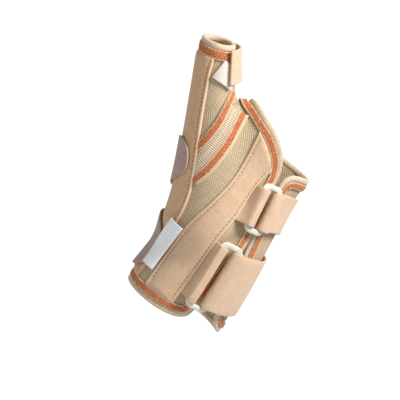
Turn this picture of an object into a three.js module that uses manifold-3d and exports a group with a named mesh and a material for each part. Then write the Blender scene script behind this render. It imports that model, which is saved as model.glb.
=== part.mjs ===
// Thumb spica splint, in the form it has when it is fastened round wrist, palm and thumb.
// Millimetres. +Z runs along the forearm towards the hand, -Y is the side that carries the straps' rings,
// and the origin is the middle of the forearm opening, level with the lowest point of the hem.
import * as THREE from 'three';
import { mergeVertices } from 'three/addons/utils/BufferGeometryUtils.js';
import Module from 'manifold-3d';

const wasm = await Module();
wasm.setup();

const rad = THREE.MathUtils.degToRad;
const mix = THREE.MathUtils.lerp;

// Sizes of the limb hollow, which is the inner face of the knit wall
const SPLINT_HEIGHT = 140;
const FOREARM_BREADTH = 68;
const FOREARM_DEPTH = 56;
const WRIST_BREADTH = 60;
const WRIST_DEPTH = 46;
const PALM_BREADTH = 70;
const PALM_DEPTH = 37;
const ARM_TURN = rad(40);
const THUMB_REACH = 38;
const THUMB_ROOT_REACH = 75;
const THUMB_ROOT_DIAMETER = 36;
const THUMB_MIDDLE_DIAMETER = 27;
const THUMB_WEB_DIAMETER = 22;
const THUMB_RIM_DIAMETER = 16.2;
const THUMB_LEAN = rad(30.4);
const THUMB_FORWARD = rad(10);
const RIM_SLANT = rad(11.5);
const WEB_FILLET = 18;

// Cloth and plastic
const WALL = 2.2;
const GAP = 0.5;
const BINDING_WIDTH = 3.2;
const BINDING_PROUD = 0.35;
const TAPE_WIDTH = 4.2;
const TAPE_THICKNESS = 0.5;
const CUFF_TAPE_WIDTH = 5.4;
const CUFF_TAPE_THICKNESS = 0.8;
const SLEEVE_THICKNESS = 1.7;
const SLEEVE_EDGE = 0.6;
const THUMB_SLEEVE_WIDTH = 30;
const GUSSET_WIDTH = 5.6;
const GUSSET_THICKNESS = 0.9;
const GUSSET_TAPE_WIDTH = 5;
const STRAP_THICKNESS = 1.2;
const WRIST_STRAP_WIDTH = 40;
const PALM_STRAP_WIDTH = 25;
const THUMB_STRAP_WIDTH = 21;
const THUMB_STRAP_THICKNESS = 1.3;
const HOOK_TAB_WIDTH = 15;
const HOOK_TAB_HEIGHT = 12.5;
const HOOK_TAB_THICKNESS = 0.7;
const RING_WIDTH = 17;
const RING_THICKNESS = 2.4;
const RING_SIDE_BAR = 4.8;
const RING_END_BAR = 3.4;
const RING_CORNER = 5;
const RING_BEVEL = 0.5;
const RING_TILT = rad(5);
const LABEL_LENGTH = 34;
const LABEL_WIDTH = 10.4;
const LABEL_THICKNESS = 0.4;

// Heights of the layers above the hollow
const TAPE_LEVEL = WALL + GAP;
const EDGE_TAPE_LEVEL = TAPE_LEVEL + GAP / 3;
const SLEEVE_TOP = TAPE_LEVEL + SLEEVE_THICKNESS;
const UNDER_LEVEL = TAPE_LEVEL + TAPE_THICKNESS + GAP;
const FOLD_RADIUS = RING_THICKNESS / 2 + 1.5 * GAP;
const RING_LEVEL = UNDER_LEVEL + STRAP_THICKNESS + FOLD_RADIUS;
const OVER_LEVEL = UNDER_LEVEL + STRAP_THICKNESS + GAP;
const TIP_LEVEL = SLEEVE_TOP + 1.5 * GAP;
const BACK_LEVEL = UNDER_LEVEL - GAP;
const CUFF_TOP = TAPE_LEVEL + CUFF_TAPE_THICKNESS;
const HOOK_LEVEL = UNDER_LEVEL;
const HOOK_TOP = HOOK_LEVEL + HOOK_TAB_THICKNESS;
const LABEL_LOW = SLEEVE_TOP + GAP;
const LABEL_HIGH = TIP_LEVEL + STRAP_THICKNESS + GAP;

// How finely the meshes follow the form
const CELL = 6;
const STEP = 2;
const FAIRNESS = 0.085;

const HALF = FOREARM_BREADTH / 2;

// Sections across the arm, from the hem to the top of the hand edge.
// at is a share of the height, and x and y are shares of half the forearm's breadth.
const LOW_BREADTH = mix(FOREARM_BREADTH, WRIST_BREADTH, 0.5);
const LOW_DEPTH = mix(FOREARM_DEPTH, WRIST_DEPTH, 0.3);
const MIDDLE_BREADTH = mix(WRIST_BREADTH, PALM_BREADTH, 0.75);
const MIDDLE_DEPTH = mix(WRIST_DEPTH, PALM_DEPTH, 0.9);
const ARM = [
  { at: 0.00, x: 0.00, y: 0.06, breadth: FOREARM_BREADTH, depth: FOREARM_DEPTH },
  { at: 0.22, x: -0.015, y: 0.06, breadth: LOW_BREADTH, depth: LOW_DEPTH },
  { at: 0.48, x: -0.09, y: 0.03, breadth: WRIST_BREADTH, depth: WRIST_DEPTH },
  { at: 0.75, x: -0.28, y: 0.00, breadth: MIDDLE_BREADTH, depth: MIDDLE_DEPTH },
  { at: 1.00, x: -0.19, y: 0.00, breadth: PALM_BREADTH, depth: PALM_DEPTH },
];

// Sections across the thumb. at is the way along its axis from the web between thumb and hand.
const THUMB = [
  { at: -THUMB_ROOT_REACH, wide: THUMB_ROOT_DIAMETER, deep: 0.95 * THUMB_ROOT_DIAMETER },
  { at: -0.47 * THUMB_ROOT_REACH, wide: THUMB_MIDDLE_DIAMETER, deep: 1.04 * THUMB_MIDDLE_DIAMETER },
  { at: 0, wide: 0.97 * THUMB_WEB_DIAMETER, deep: 1.04 * THUMB_WEB_DIAMETER },
  { at: THUMB_REACH, wide: 0.96 * THUMB_RIM_DIAMETER, deep: 1.05 * THUMB_RIM_DIAMETER },
];
const THUMB_WEB = new THREE.Vector3(-1.656 * HALF, -0.79 * HALF, 0.893 * SPLINT_HEIGHT);
const THUMB_AXIS = new THREE.Vector3(
  -Math.sin(THUMB_LEAN) * Math.cos(THUMB_FORWARD),
  -Math.sin(THUMB_FORWARD),
  Math.cos(THUMB_LEAN) * Math.cos(THUMB_FORWARD),
);
const THUMB_ACROSS = new THREE.Vector3(0, 1, 0).cross(THUMB_AXIS).normalize();
const THUMB_BACK = THUMB_AXIS.clone().cross(THUMB_ACROSS);

// The cut edge of the wrap all round, seen from the arm's axis: turn is in degrees from the front (-Y)
// towards +X, and at is a share of the height. It runs left round the hem, up the right flap, back along
// the hand edge and down the left flap. The corner rows split it into those four sides.
const OUTLINE = [
  { turn: 20, at: 0.055, corner: true },
  { turn: 10, at: 0.028 },
  { turn: -9, at: 0.010 },
  { turn: -36, at: 0.002 },
  { turn: -90, at: 0.000 },
  { turn: -150, at: 0.000 },
  { turn: -210, at: 0.004 },
  { turn: -250, at: 0.014 },
  { turn: -278, at: 0.040 },
  { turn: -293, at: 0.068, corner: true },
  { turn: -300, at: 0.115 },
  { turn: -309, at: 0.250 },
  { turn: -317, at: 0.440 },
  { turn: -317, at: 0.540 },
  { turn: -306, at: 0.740 },
  { turn: -303, at: 0.785, corner: true },
  { turn: -292, at: 0.818 },
  { turn: -272, at: 0.832 },
  { turn: -250, at: 0.831 },
  { turn: -232, at: 0.830 },
  { turn: -212, at: 0.832 },
  { turn: -180, at: 0.840 },
  { turn: -140, at: 0.870 },
  { turn: -105, at: 0.925 },
  { turn: -75, at: 0.980 },
  { turn: -50, at: 1.000 },
  { turn: -28, at: 0.970 },
  { turn: 5, at: 0.905 },
  { turn: 27, at: 0.850 },
  { turn: 41, at: 0.790, corner: true },
  { turn: 44, at: 0.740 },
  { turn: 41, at: 0.530 },
  { turn: 38, at: 0.420 },
  { turn: 31, at: 0.230 },
  { turn: 24, at: 0.105 },
];
// How many steps each side of the outline is cut into: hem, right flap, hand edge, left flap
const SIDE_STEPS = [30, 12, 44, 12];
const CUFF_STEPS = 24;
const STRAP_STEPS = 24;

// Strips seen from the front: x is a share of half the forearm's breadth, and at is a share of the height
const THUMB_PIPING = [
  { x: -2.03, at: 1.034 },
  { x: -1.97, at: 0.995 },
  { x: -1.88, at: 0.949 },
  { x: -1.79, at: 0.903 },
  { x: -1.59, at: 0.805 },
  { x: -1.385, at: 0.711 },
  { x: -1.17, at: 0.612 },
  { x: -0.96, at: 0.495 },
  { x: -0.87, at: 0.375 },
  { x: -0.86, at: 0.200 },
  { x: -0.86, at: 0.090 },
];
const GUSSET = [
  { x: -1.255, at: 0.925 },
  { x: -1.210, at: 0.878 },
  { x: -1.176, at: 0.836 },
  { x: -1.154, at: 0.791 },
  { x: -1.151, at: 0.747 },
  { x: -1.158, at: 0.699 },
  { x: -1.176, at: 0.649 },
  { x: -1.230, at: 0.585 },
];
const GUSSET_TAPE_UPPER = [
  { x: -1.465, at: 0.980 },
  { x: -1.428, at: 0.948 },
  { x: -1.396, at: 0.914 },
  { x: -1.366, at: 0.880 },
  { x: -1.342, at: 0.848 },
  { x: -1.334, at: 0.812 },
  { x: -1.338, at: 0.776 },
  { x: -1.350, at: 0.738 },
  { x: -1.400, at: 0.680 },
];
// Left and right edges of the wide sleeve over the forearm stay
const FOREARM_SLEEVE = [
  { left: -0.66, right: -0.06, leftAt: 0.068, rightAt: 0.074 },
  { left: -0.685, right: -0.06, leftAt: 0.250, rightAt: 0.250 },
  { left: -0.69, right: -0.10, leftAt: 0.410, rightAt: 0.410 },
  { left: -0.60, right: -0.08, leftAt: 0.540, rightAt: 0.540 },
  { left: -0.54, right: -0.11, leftAt: 0.665, rightAt: 0.650 },
  { left: -0.58, right: -0.115, leftAt: 0.790, rightAt: 0.730 },
  { left: -0.64, right: -0.075, leftAt: 0.878, rightAt: 0.785 },
];

// Middle lines of the two straps, from the ring round the right side and the back to the tip on the left
const WRIST_STRAP = [
  { turn: 52, at: 0.280, level: OVER_LEVEL + 1.2 },
  { turn: 70, at: 0.286, level: OVER_LEVEL + 0.2 },
  { turn: 82, at: 0.290, level: OVER_LEVEL - 0.2 },
  { turn: 100, at: 0.291, level: BACK_LEVEL + 0.3 },
  { turn: 118, at: 0.285, level: BACK_LEVEL },
  { turn: 180, at: 0.255, level: BACK_LEVEL + 0.2 },
  { turn: 235, at: 0.226, level: UNDER_LEVEL },
  { turn: 262, at: 0.214, level: TIP_LEVEL },
  { turn: 312, at: 0.216, level: TIP_LEVEL },
];
const PALM_STRAP = [
  { turn: 60, at: 0.648, level: OVER_LEVEL + 1.0 },
  { turn: 76, at: 0.652, level: OVER_LEVEL + 0.2 },
  { turn: 88, at: 0.651, level: OVER_LEVEL - 0.2 },
  { turn: 104, at: 0.643, level: BACK_LEVEL + 0.3 },
  { turn: 120, at: 0.625, level: BACK_LEVEL + 0.2 },
  { turn: 180, at: 0.550, level: UNDER_LEVEL + 0.6 },
  { turn: 235, at: 0.520, level: UNDER_LEVEL },
  { turn: 270, at: 0.540, level: TIP_LEVEL },
  { turn: 296, at: 0.590, level: TIP_LEVEL },
  { turn: 311, at: 0.665, level: TIP_LEVEL },
];
// The turn where a strap's sewn end lies, how blunt its tip is, and the way from a ring's middle to
// its slot's side
const UNDER_STRAP_END = 78;
const TIP_BLUNTNESS = 0.12;
const SLOT_SIDE = RING_WIDTH / 2 - RING_SIDE_BAR;
// The way from the gusset's middle line to the lower tape's near edge
const LOWER_TAPE_AT = GUSSET_WIDTH / 2 + GAP;

const WRIST_RING_PLACE = { x: 0.253, at: 0.275 };
const PALM_RING_PLACE = { x: 0.226, at: 0.637 };
const LABEL_PLACE = { right: -0.71, top: 0.372 };
// The hook tab's edge that shows, and the turns round the thumb where the thumb strap lies
const HOOK_TAB_EDGE = [
  { x: -1.90, at: 0.985 },
  { x: -1.90, at: 1.090 },
];
const THUMB_STRAP_START = 13.5;
const THUMB_STRAP = [
  { turn: -50, level: HOOK_TOP + 2 * GAP },
  { turn: -28, level: HOOK_TOP + GAP },
  { turn: -6, level: HOOK_TOP + GAP },
  { turn: 16, level: HOOK_TOP + GAP },
  { turn: 38, level: HOOK_TOP + GAP },
  { turn: 60, level: HOOK_TOP },
  { turn: 82, level: CUFF_TOP + GAP },
  { turn: 104, level: CUFF_TOP + GAP },
];

// Colours as they are in daylight
const VELOUR = { color: 0xdfc09e, roughness: 0.95 };
const KNIT = { color: 0xbfae8c, roughness: 0.9 };
const BINDING = { color: 0xe8d6be, roughness: 0.85 };
const STITCHED_TAPE = { color: 0xd98a58, roughness: 0.8 };
const ELASTIC = { color: 0xd2c3a3, roughness: 0.85 };
const STRAP_LOOP = { color: 0xe2c4a2, roughness: 0.95 };
const HOOK = { color: 0xe1d4c8, roughness: 0.6 };
const PLASTIC = { color: 0xe1decd, roughness: 0.35 };
const SATIN = { color: 0xe8ecf0, roughness: 0.5 };

// Value of one column on a smooth curve through a table's rows
function along(rows, column, at) {
  const last = rows.length - 1;
  if (at <= rows[0].at) return rows[0][column];
  if (at >= rows[last].at) return rows[last][column];
  let i = 0;
  while (at > rows[i + 1].at) i += 1;
  const slope = (j) => {
    const low = rows[Math.max(j - 1, 0)];
    const high = rows[Math.min(j + 1, last)];
    return (high[column] - low[column]) / (high.at - low.at);
  };
  const span = rows[i + 1].at - rows[i].at;
  const t = (at - rows[i].at) / span;
  const keep = (1 + 2 * t) * (1 - t) ** 2;
  return keep * rows[i][column] + (1 - keep) * rows[i + 1][column]
    + t * (1 - t) ** 2 * span * slope(i) - t * t * (1 - t) * span * slope(i + 1);
}

// Distance of a point from an ellipse, near enough for the few millimetres that the layers need
function fromEllipse(u, v, w, a, b) {
  const share = Math.hypot(u / a, v / b, w / a);
  const steep = Math.hypot(u / (a * a), v / (b * b), w / (a * a));
  return ((share - 1) * share) / Math.max(steep, 1e-6);
}

// Middle of the arm at a height
function armMiddle(z) {
  const at = z / SPLINT_HEIGHT;
  return new THREE.Vector3(HALF * along(ARM, 'x', at), HALF * along(ARM, 'y', at), z);
}

function fromArm(p) {
  const middle = armMiddle(p.z);
  const x = p.x - middle.x;
  const y = p.y - middle.y;
  const u = x * Math.cos(ARM_TURN) + y * Math.sin(ARM_TURN);
  const v = y * Math.cos(ARM_TURN) - x * Math.sin(ARM_TURN);
  const at = p.z / SPLINT_HEIGHT;
  return fromEllipse(u, v, 0, along(ARM, 'breadth', at) / 2, along(ARM, 'depth', at) / 2);
}

function fromThumb(p) {
  const way = p.clone().sub(THUMB_WEB);
  const at = way.dot(THUMB_AXIS);
  const beyond = Math.min(0, at + THUMB_ROOT_REACH);
  const halfWide = along(THUMB, 'wide', at) / 2;
  const halfDeep = along(THUMB, 'deep', at) / 2;
  return fromEllipse(way.dot(THUMB_ACROSS), way.dot(THUMB_BACK), beyond, halfWide, halfDeep);
}

// Height of a point above the hollow, with the arm and the thumb joined by a soft fillet
function form(p) {
  const a = fromArm(p);
  const b = fromThumb(p);
  const near = Math.max(WEB_FILLET - Math.abs(a - b), 0) / WEB_FILLET;
  return Math.min(a, b) - (near * near * WEB_FILLET) / 4;
}

// Way straight out from the form at a point, from the form's change over a short step along each axis
function normalAt(p) {
  const step = 0.05;
  const slope = (x, y, z) => {
    const ahead = new THREE.Vector3(x, y, z).multiplyScalar(step);
    return form(p.clone().add(ahead)) - form(p.clone().sub(ahead));
  };
  return new THREE.Vector3(slope(1, 0, 0), slope(0, 1, 0), slope(0, 0, 1)).normalize();
}

// Moves a point straight onto the surface at a level above the hollow
function settle(p, level) {
  const q = p.clone();
  for (let i = 0; i < 5; i += 1) q.addScaledVector(normalAt(q), level - form(q));
  return q;
}

// First crossing of a level on the way from a start point, coming from inside or from outside
function cross(start, direction, level, outwards) {
  const sign = outwards ? 1 : -1;
  const miss = (t) => sign * (level - form(start.clone().addScaledVector(direction, t)));
  let far = 0;
  while (miss(far) > 0 && far < 200) far += Math.max(0.5 * miss(far), 0.2);
  let near = Math.max(far - 2, 0);
  for (let i = 0; i < 20; i += 1) {
    const middle = (near + far) / 2;
    if (miss(middle) > 0) near = middle;
    else far = middle;
  }
  return start.clone().addScaledVector(direction, far);
}

// Point at a level, seen from the arm's middle at a height: turn is in degrees from the front towards +X
function placeRound(turn, z, level) {
  const middle = armMiddle(z);
  return cross(middle, new THREE.Vector3(Math.sin(rad(turn)), -Math.cos(rad(turn)), 0), level, true);
}

// Point at a level that lies straight behind x and z, seen from the front
function placeFront(x, z, level) {
  return cross(new THREE.Vector3(x, -3 * HALF, z), new THREE.Vector3(0, 1, 0), level, false);
}

// Walks along the surface from a point, and says where it ends
function walk(start, direction, distance, level) {
  const p = start.clone();
  const heading = direction.clone();
  const steps = Math.max(1, Math.ceil(Math.abs(distance) / STEP));
  for (let i = 0; i < steps; i += 1) {
    p.addScaledVector(heading, distance / steps);
    p.copy(settle(p, level));
    heading.addScaledVector(normalAt(p), -heading.dot(normalAt(p))).normalize();
  }
  return p;
}

// Geometry of a closed set of triangles, turned so that they face outwards
function toGeometry(points, faces) {
  const geometry = new THREE.BufferGeometry();
  const numbers = points.flatMap((p) => [p.x, p.y, p.z]);
  geometry.setAttribute('position', new THREE.Float32BufferAttribute(numbers, 3));
  let volume = 0;
  for (const [a, b, c] of faces) volume += points[a].dot(points[b].clone().cross(points[c]));
  geometry.setIndex(faces.flatMap(([a, b, c]) => (volume < 0 ? [a, c, b] : [a, b, c])));
  return geometry;
}

// A grid of surface points moved out by a thickness
function raised(grid, thickness) {
  return grid.map((row) => row.map((p) => p.clone().addScaledVector(normalAt(p), thickness)));
}

// A closed solid between two grids of points. A ring joins its last row of points to its first.
function slab(lower, upper, ring = false) {
  const rows = lower.length;
  const columns = lower[0].length;
  const points = [...lower.flat(), ...upper.flat()];
  const faces = [];
  const quad = (a, b, c, d) => faces.push([a, b, c], [a, c, d]);
  const low = (i, j) => (i % rows) * columns + j;
  const high = (i, j) => rows * columns + low(i, j);
  for (let i = 0; i < (ring ? rows : rows - 1); i += 1) {
    for (let j = 0; j < columns - 1; j += 1) {
      quad(high(i, j), high(i + 1, j), high(i + 1, j + 1), high(i, j + 1));
      quad(low(i, j), low(i, j + 1), low(i + 1, j + 1), low(i + 1, j));
    }
    quad(low(i, 0), low(i + 1, 0), high(i + 1, 0), high(i, 0));
    const j = columns - 1;
    quad(low(i, j), high(i, j), high(i + 1, j), low(i + 1, j));
  }
  if (!ring) {
    for (let j = 0; j < columns - 1; j += 1) {
      const i = rows - 1;
      quad(low(0, j), high(0, j), high(0, j + 1), low(0, j + 1));
      quad(low(i, j), low(i, j + 1), high(i, j + 1), high(i, j));
    }
  }
  return toGeometry(points, faces);
}

// A bar of six sides that closes on itself, through stations that each have a point and two directions
function bar(stations, halfWidth, halfThickness) {
  const sides = 6;
  const points = stations.flatMap(({ point, across, out }) => Array.from({ length: sides }, (_, k) => {
    const angle = (2 * Math.PI * k) / sides;
    return point.clone().addScaledVector(across, halfWidth * Math.cos(angle))
      .addScaledVector(out, (halfThickness * Math.sin(angle)) / Math.sin(Math.PI / 3));
  }));
  const faces = [];
  for (let i = 0; i < stations.length; i += 1) {
    const next = (i + 1) % stations.length;
    for (let k = 0; k < sides; k += 1) {
      const a = i * sides + k;
      const b = i * sides + ((k + 1) % sides);
      const c = next * sides + ((k + 1) % sides);
      const d = next * sides + k;
      faces.push([a, b, c], [a, c, d]);
    }
  }
  return toGeometry(points, faces);
}

function toSolid(geometry) {
  const index = geometry.getIndex();
  const mesh = new wasm.Mesh({
    numProp: 3,
    vertProperties: new Float32Array(geometry.getAttribute('position').array),
    triVerts: new Uint32Array(index.array),
  });
  return new wasm.Manifold(mesh);
}

function fromSolid(solid) {
  const { vertProperties, triVerts } = solid.getMesh();
  const geometry = new THREE.BufferGeometry();
  geometry.setAttribute('position', new THREE.BufferAttribute(new Float32Array(vertProperties), 3));
  geometry.setIndex(new THREE.BufferAttribute(new Uint32Array(triVerts), 1));
  return geometry;
}

// A geometry of three.js as places alone, with its doubled points joined
function bare(geometry) {
  geometry.deleteAttribute('normal');
  geometry.deleteAttribute('uv');
  return mergeVertices(geometry, 1e-4);
}

// Closed surface of the form at a level, with its ends cut flat beyond the cloth. The space round the limb
// is an even lattice, and each cell that the surface passes through gets one point, settled on the form.
function skin(level, beyond) {
  const low = new THREE.Vector3(-3.6 * HALF, -2.6 * HALF, -beyond - CELL);
  const high = new THREE.Vector3(2 * HALF, 2.4 * HALF, SPLINT_HEIGHT + THUMB_REACH + beyond);
  const size = high.clone().sub(low).divideScalar(CELL).ceil();
  const thumbEnd = THUMB_REACH + 2 * CELL + beyond;
  const palmEnd = SPLINT_HEIGHT + 0.5 * THUMB_REACH + beyond;
  const count = [size.x + 1, size.y + 1, size.z + 1];
  const value = (p) => Math.max(
    form(p) - level,
    -beyond - p.z,
    p.clone().sub(THUMB_WEB).dot(THUMB_AXIS) - thumbEnd,
    p.z - palmEnd,
  );
  const at = (i, j, k) => low.clone().add(new THREE.Vector3(i, j, k).multiplyScalar(CELL));
  const number = (i, j, k) => (k * count[1] + j) * count[0] + i;
  const values = new Float64Array(count[0] * count[1] * count[2]);
  for (let k = 0; k < count[2]; k += 1) {
    for (let j = 0; j < count[1]; j += 1) {
      for (let i = 0; i < count[0]; i += 1) values[number(i, j, k)] = value(at(i, j, k));
    }
  }
  const points = [];
  const pointOf = new Map();
  const corner = (bit, n) => (bit >> n) & 1;
  const cellPoint = (i, j, k) => {
    const key = number(i, j, k);
    if (pointOf.has(key)) return pointOf.get(key);
    const sum = new THREE.Vector3();
    let crossings = 0;
    for (let c = 0; c < 8; c += 1) {
      for (let n = 0; n < 3; n += 1) {
        if (corner(c, n)) continue;
        const d = c | (1 << n);
        const a = [i + corner(c, 0), j + corner(c, 1), k + corner(c, 2)];
        const b = [i + corner(d, 0), j + corner(d, 1), k + corner(d, 2)];
        const va = values[number(...a)];
        const vb = values[number(...b)];
        if (va < 0 === vb < 0) continue;
        sum.add(at(...a).lerp(at(...b), va / (va - vb)));
        crossings += 1;
      }
    }
    const p = sum.divideScalar(crossings);
    const onForm = Math.abs(value(p) - (form(p) - level)) < 1e-9;
    points.push(onForm ? settle(p, level) : p);
    pointOf.set(key, points.length - 1);
    return points.length - 1;
  };
  const faces = [];
  const steps = [[1, 0, 0], [0, 1, 0], [0, 0, 1]];
  for (let k = 1; k < count[2] - 1; k += 1) {
    for (let j = 1; j < count[1] - 1; j += 1) {
      for (let i = 1; i < count[0] - 1; i += 1) {
        const here = values[number(i, j, k)] < 0;
        steps.forEach((step, n) => {
          const there = values[number(i + step[0], j + step[1], k + step[2])] < 0;
          if (here === there) return;
          const u = steps[(n + 1) % 3];
          const v = steps[(n + 2) % 3];
          const around = [[0, 0], [1, 0], [1, 1], [0, 1]].map(([a, b]) => cellPoint(
            i - a * u[0] - b * v[0],
            j - a * u[1] - b * v[1],
            k - a * u[2] - b * v[2],
          ));
          const [a, b, c, d] = here ? around : around.slice().reverse();
          const shorter = points[a].distanceTo(points[c]) < points[b].distanceTo(points[d]);
          if (shorter) faces.push([a, b, c], [a, c, d]);
          else faces.push([b, c, d], [b, d, a]);
        });
      }
    }
  }
  return toSolid(toGeometry(points, faces));
}

// The outline as a smooth closed curve, cut into its four sides
const corners = OUTLINE.flatMap((row, i) => (row.corner ? [i] : []));
const outlineCurve = new THREE.CatmullRomCurve3(
  OUTLINE.map(({ turn, at }) => new THREE.Vector3(rad(turn) * HALF, at * SPLINT_HEIGHT, 0)),
  true,
);
const outlineSides = corners.map((first, side) => {
  const last = side === corners.length - 1 ? OUTLINE.length : corners[side + 1];
  const steps = SIDE_STEPS[side];
  return Array.from({ length: steps }, (_, i) => {
    const t = mix(first, last, i / steps) / OUTLINE.length;
    const p = outlineCurve.getPoint(t % 1);
    return { turn: THREE.MathUtils.radToDeg(p.x / HALF), z: p.y };
  });
});
const outline = outlineSides.flat();

// Stations of a closed line on the surface, each with the way in from the cut edge
function stationsOf(points) {
  return points.map((point, i) => {
    const out = normalAt(point);
    const before = points[(i + points.length - 1) % points.length];
    const after = points[(i + 1) % points.length];
    const across = after.clone().sub(before).cross(out).normalize();
    return { point, across, out };
  });
}

// The outline moved inwards over the cloth at a level
function inset(stations, distance, level) {
  return stations.map(({ point, across }) => walk(settle(point, level), across, distance, level));
}

// Solid that holds the wrap's cloth and nothing beyond its cut edges: a patch between the outline's four
// sides, drawn from near the arm's middle to well outside the cloth, whose rim runs through the stations
function keepWithin(stations) {
  const [hem, rightFlap, handEdge, leftFlap] = SIDE_STEPS;
  const edge = (i, j) => {
    if (j === 0) return i;
    if (i === hem) return hem + j;
    if (j === rightFlap) return hem + rightFlap + (handEdge - i);
    if (i === 0) return (hem + rightFlap + handEdge + (leftFlap - j)) % outline.length;
    return -1;
  };
  const ends = (i, j) => outline[edge(i, j)];
  const inner = [];
  const outer = [];
  for (let i = 0; i <= hem; i += 1) {
    inner.push([]);
    outer.push([]);
    for (let j = 0; j <= rightFlap; j += 1) {
      const number = edge(i, j);
      if (number >= 0) {
        const { point, out } = stations[number];
        inner[i].push(point.clone().addScaledVector(out, -2 * WALL));
        outer[i].push(point.clone().addScaledVector(out, 4 * WALL));
        continue;
      }
      const u = i / hem;
      const v = j / rightFlap;
      const patch = (key) => {
        const up = mix(ends(i, 0)[key], ends(i, rightFlap)[key], v);
        const over = mix(ends(0, j)[key], ends(hem, j)[key], u);
        const low = mix(ends(0, 0)[key], ends(hem, 0)[key], u);
        const high = mix(ends(0, rightFlap)[key], ends(hem, rightFlap)[key], u);
        return up + over - mix(low, high, v);
      };
      const z = patch('z');
      const turn = rad(patch('turn'));
      const away = new THREE.Vector3(Math.sin(turn), -Math.cos(turn), 0);
      inner[i].push(armMiddle(z).addScaledVector(away, 0.15 * HALF));
      outer[i].push(armMiddle(z).addScaledVector(away, 3.5 * HALF));
    }
  }
  return toSolid(slab(inner, outer));
}

const edgeStations = stationsOf(outline.map(({ turn, z }) => placeRound(turn, z, WALL / 2)));

// Everything beyond a plane, on the side that its normal points to
function beyondPlane(point, normal) {
  const size = 8 * HALF;
  const box = new THREE.BoxGeometry(size, size, size).translate(0, 0, size / 2);
  box.applyQuaternion(new THREE.Quaternion().setFromUnitVectors(new THREE.Vector3(0, 0, 1), normal));
  box.translate(point.x, point.y, point.z);
  return toSolid(bare(box));
}

function onThumb(at) {
  return THUMB_WEB.clone().addScaledVector(THUMB_AXIS, at);
}

const SEAM_AT = 1;
const RIM_NORMAL = THUMB_AXIS.clone().applyAxisAngle(THUMB_BACK, RIM_SLANT);
const RIM_MIDDLE = onThumb(THUMB_REACH);

// The cut edge of the thumb tube, and lines that run round the tube a set way below it
function rimLine(below, level, count) {
  const aside = RIM_NORMAL.clone().cross(THUMB_BACK).normalize();
  const ahead = aside.clone().cross(RIM_NORMAL);
  const middle = RIM_MIDDLE.clone().addScaledVector(RIM_NORMAL, -below);
  return Array.from({ length: count }, (_, i) => {
    const turn = (2 * Math.PI * i) / count;
    const direction = aside.clone().multiplyScalar(Math.cos(turn)).addScaledVector(ahead, Math.sin(turn));
    return cross(middle, direction, level, true);
  });
}

const shell = skin(WALL, 0).subtract(skin(0, CELL));

function makeWrap() {
  const cut = stationsOf(inset(edgeStations, BINDING_WIDTH + GAP, WALL / 2));
  const body = shell.intersect(keepWithin(cut));
  return fromSolid(body.subtract(beyondPlane(onThumb(SEAM_AT), THUMB_AXIS)).simplify(FAIRNESS));
}

function makeThumbTube() {
  const radius = THUMB_WEB_DIAMETER / 2 + 3 * WALL;
  const around = new THREE.CylinderGeometry(radius, radius, 2 * THUMB_REACH, 32, 1);
  around.translate(0, THUMB_REACH + SEAM_AT + GAP, 0);
  around.applyQuaternion(new THREE.Quaternion().setFromUnitVectors(new THREE.Vector3(0, 1, 0), THUMB_AXIS));
  around.translate(THUMB_WEB.x, THUMB_WEB.y, THUMB_WEB.z);
  const cutAt = RIM_MIDDLE.clone().addScaledVector(RIM_NORMAL, -BINDING_WIDTH - GAP);
  const body = shell.intersect(toSolid(bare(around))).subtract(beyondPlane(cutAt, RIM_NORMAL));
  return fromSolid(body.simplify(FAIRNESS));
}

function makeBinding(points) {
  const middle = stationsOf(points);
  return bar(middle, BINDING_WIDTH / 2, WALL / 2 + BINDING_PROUD);
}

// A flat strip that closes on itself between two lines on the surface
function makeLoop(first, second, thickness) {
  const lower = first.map((p, i) => [p, second[i]]);
  return slab(lower, raised(lower, thickness), true);
}

// Points of a guide line in a table, evenly spaced on a smooth curve, placed by a function of its x and y
function guide(rows, toPoint, count) {
  const curve = new THREE.CatmullRomCurve3(rows.map(toPoint));
  return curve.getSpacedPoints(count);
}

// A strip of cloth along a guide line on the surface, and how far it reaches to the left and right of it.
// Right is -X for a line that runs downwards at the front. edge is the rim's share of the thickness.
function ribbon(line, { level, thickness, cells, edge = 1, left, right }) {
  const lower = [];
  const upper = [];
  line.forEach((raw, i) => {
    const point = settle(raw, level);
    const before = line[Math.max(i - 1, 0)];
    const after = line[Math.min(i + 1, line.length - 1)];
    const aside = after.clone().sub(before).cross(normalAt(point)).normalize();
    const row = Array.from({ length: cells + 1 }, (_, j) => (
      walk(point, aside, mix(-left, right, j / cells), level)
    ));
    lower.push(row);
    upper.push(row.map((p, j) => {
      const rim = j === 0 || j === cells;
      return p.clone().addScaledVector(normalAt(p), thickness * (rim ? edge : 1));
    }));
  });
  return slab(lower, upper);
}

const fromFront = (level) => ({ x, at }) => placeFront(x * HALF, at * SPLINT_HEIGHT, level);

function makeForearmSleeve() {
  const rows = 18;
  const cells = 5;
  const ends = ['left', 'right'].map((side) => new THREE.CatmullRomCurve3(FOREARM_SLEEVE.map((row) => (
    new THREE.Vector3(row[side] * HALF, 0, row[`${side}At`] * SPLINT_HEIGHT)
  ))).getSpacedPoints(rows));
  const lower = [];
  const upper = [];
  for (let i = 0; i <= rows; i += 1) {
    const row = Array.from({ length: cells + 1 }, (_, j) => {
      const p = ends[0][i].clone().lerp(ends[1][i], j / cells);
      return placeFront(p.x, p.z, TAPE_LEVEL);
    });
    lower.push(row);
    upper.push(row.map((p, j) => {
      const rim = i === 0 || i === rows || j === 0 || j === cells;
      return p.clone().addScaledVector(normalAt(p), SLEEVE_THICKNESS * (rim ? SLEEVE_EDGE : 1));
    }));
  }
  return slab(lower, upper);
}

const thumbPiping = guide(THUMB_PIPING, fromFront(TAPE_LEVEL), 26);

function makeThumbSleeve() {
  return ribbon(thumbPiping, {
    level: TAPE_LEVEL,
    thickness: SLEEVE_THICKNESS,
    cells: 5,
    edge: SLEEVE_EDGE,
    left: 0,
    right: THUMB_SLEEVE_WIDTH,
  });
}

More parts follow.
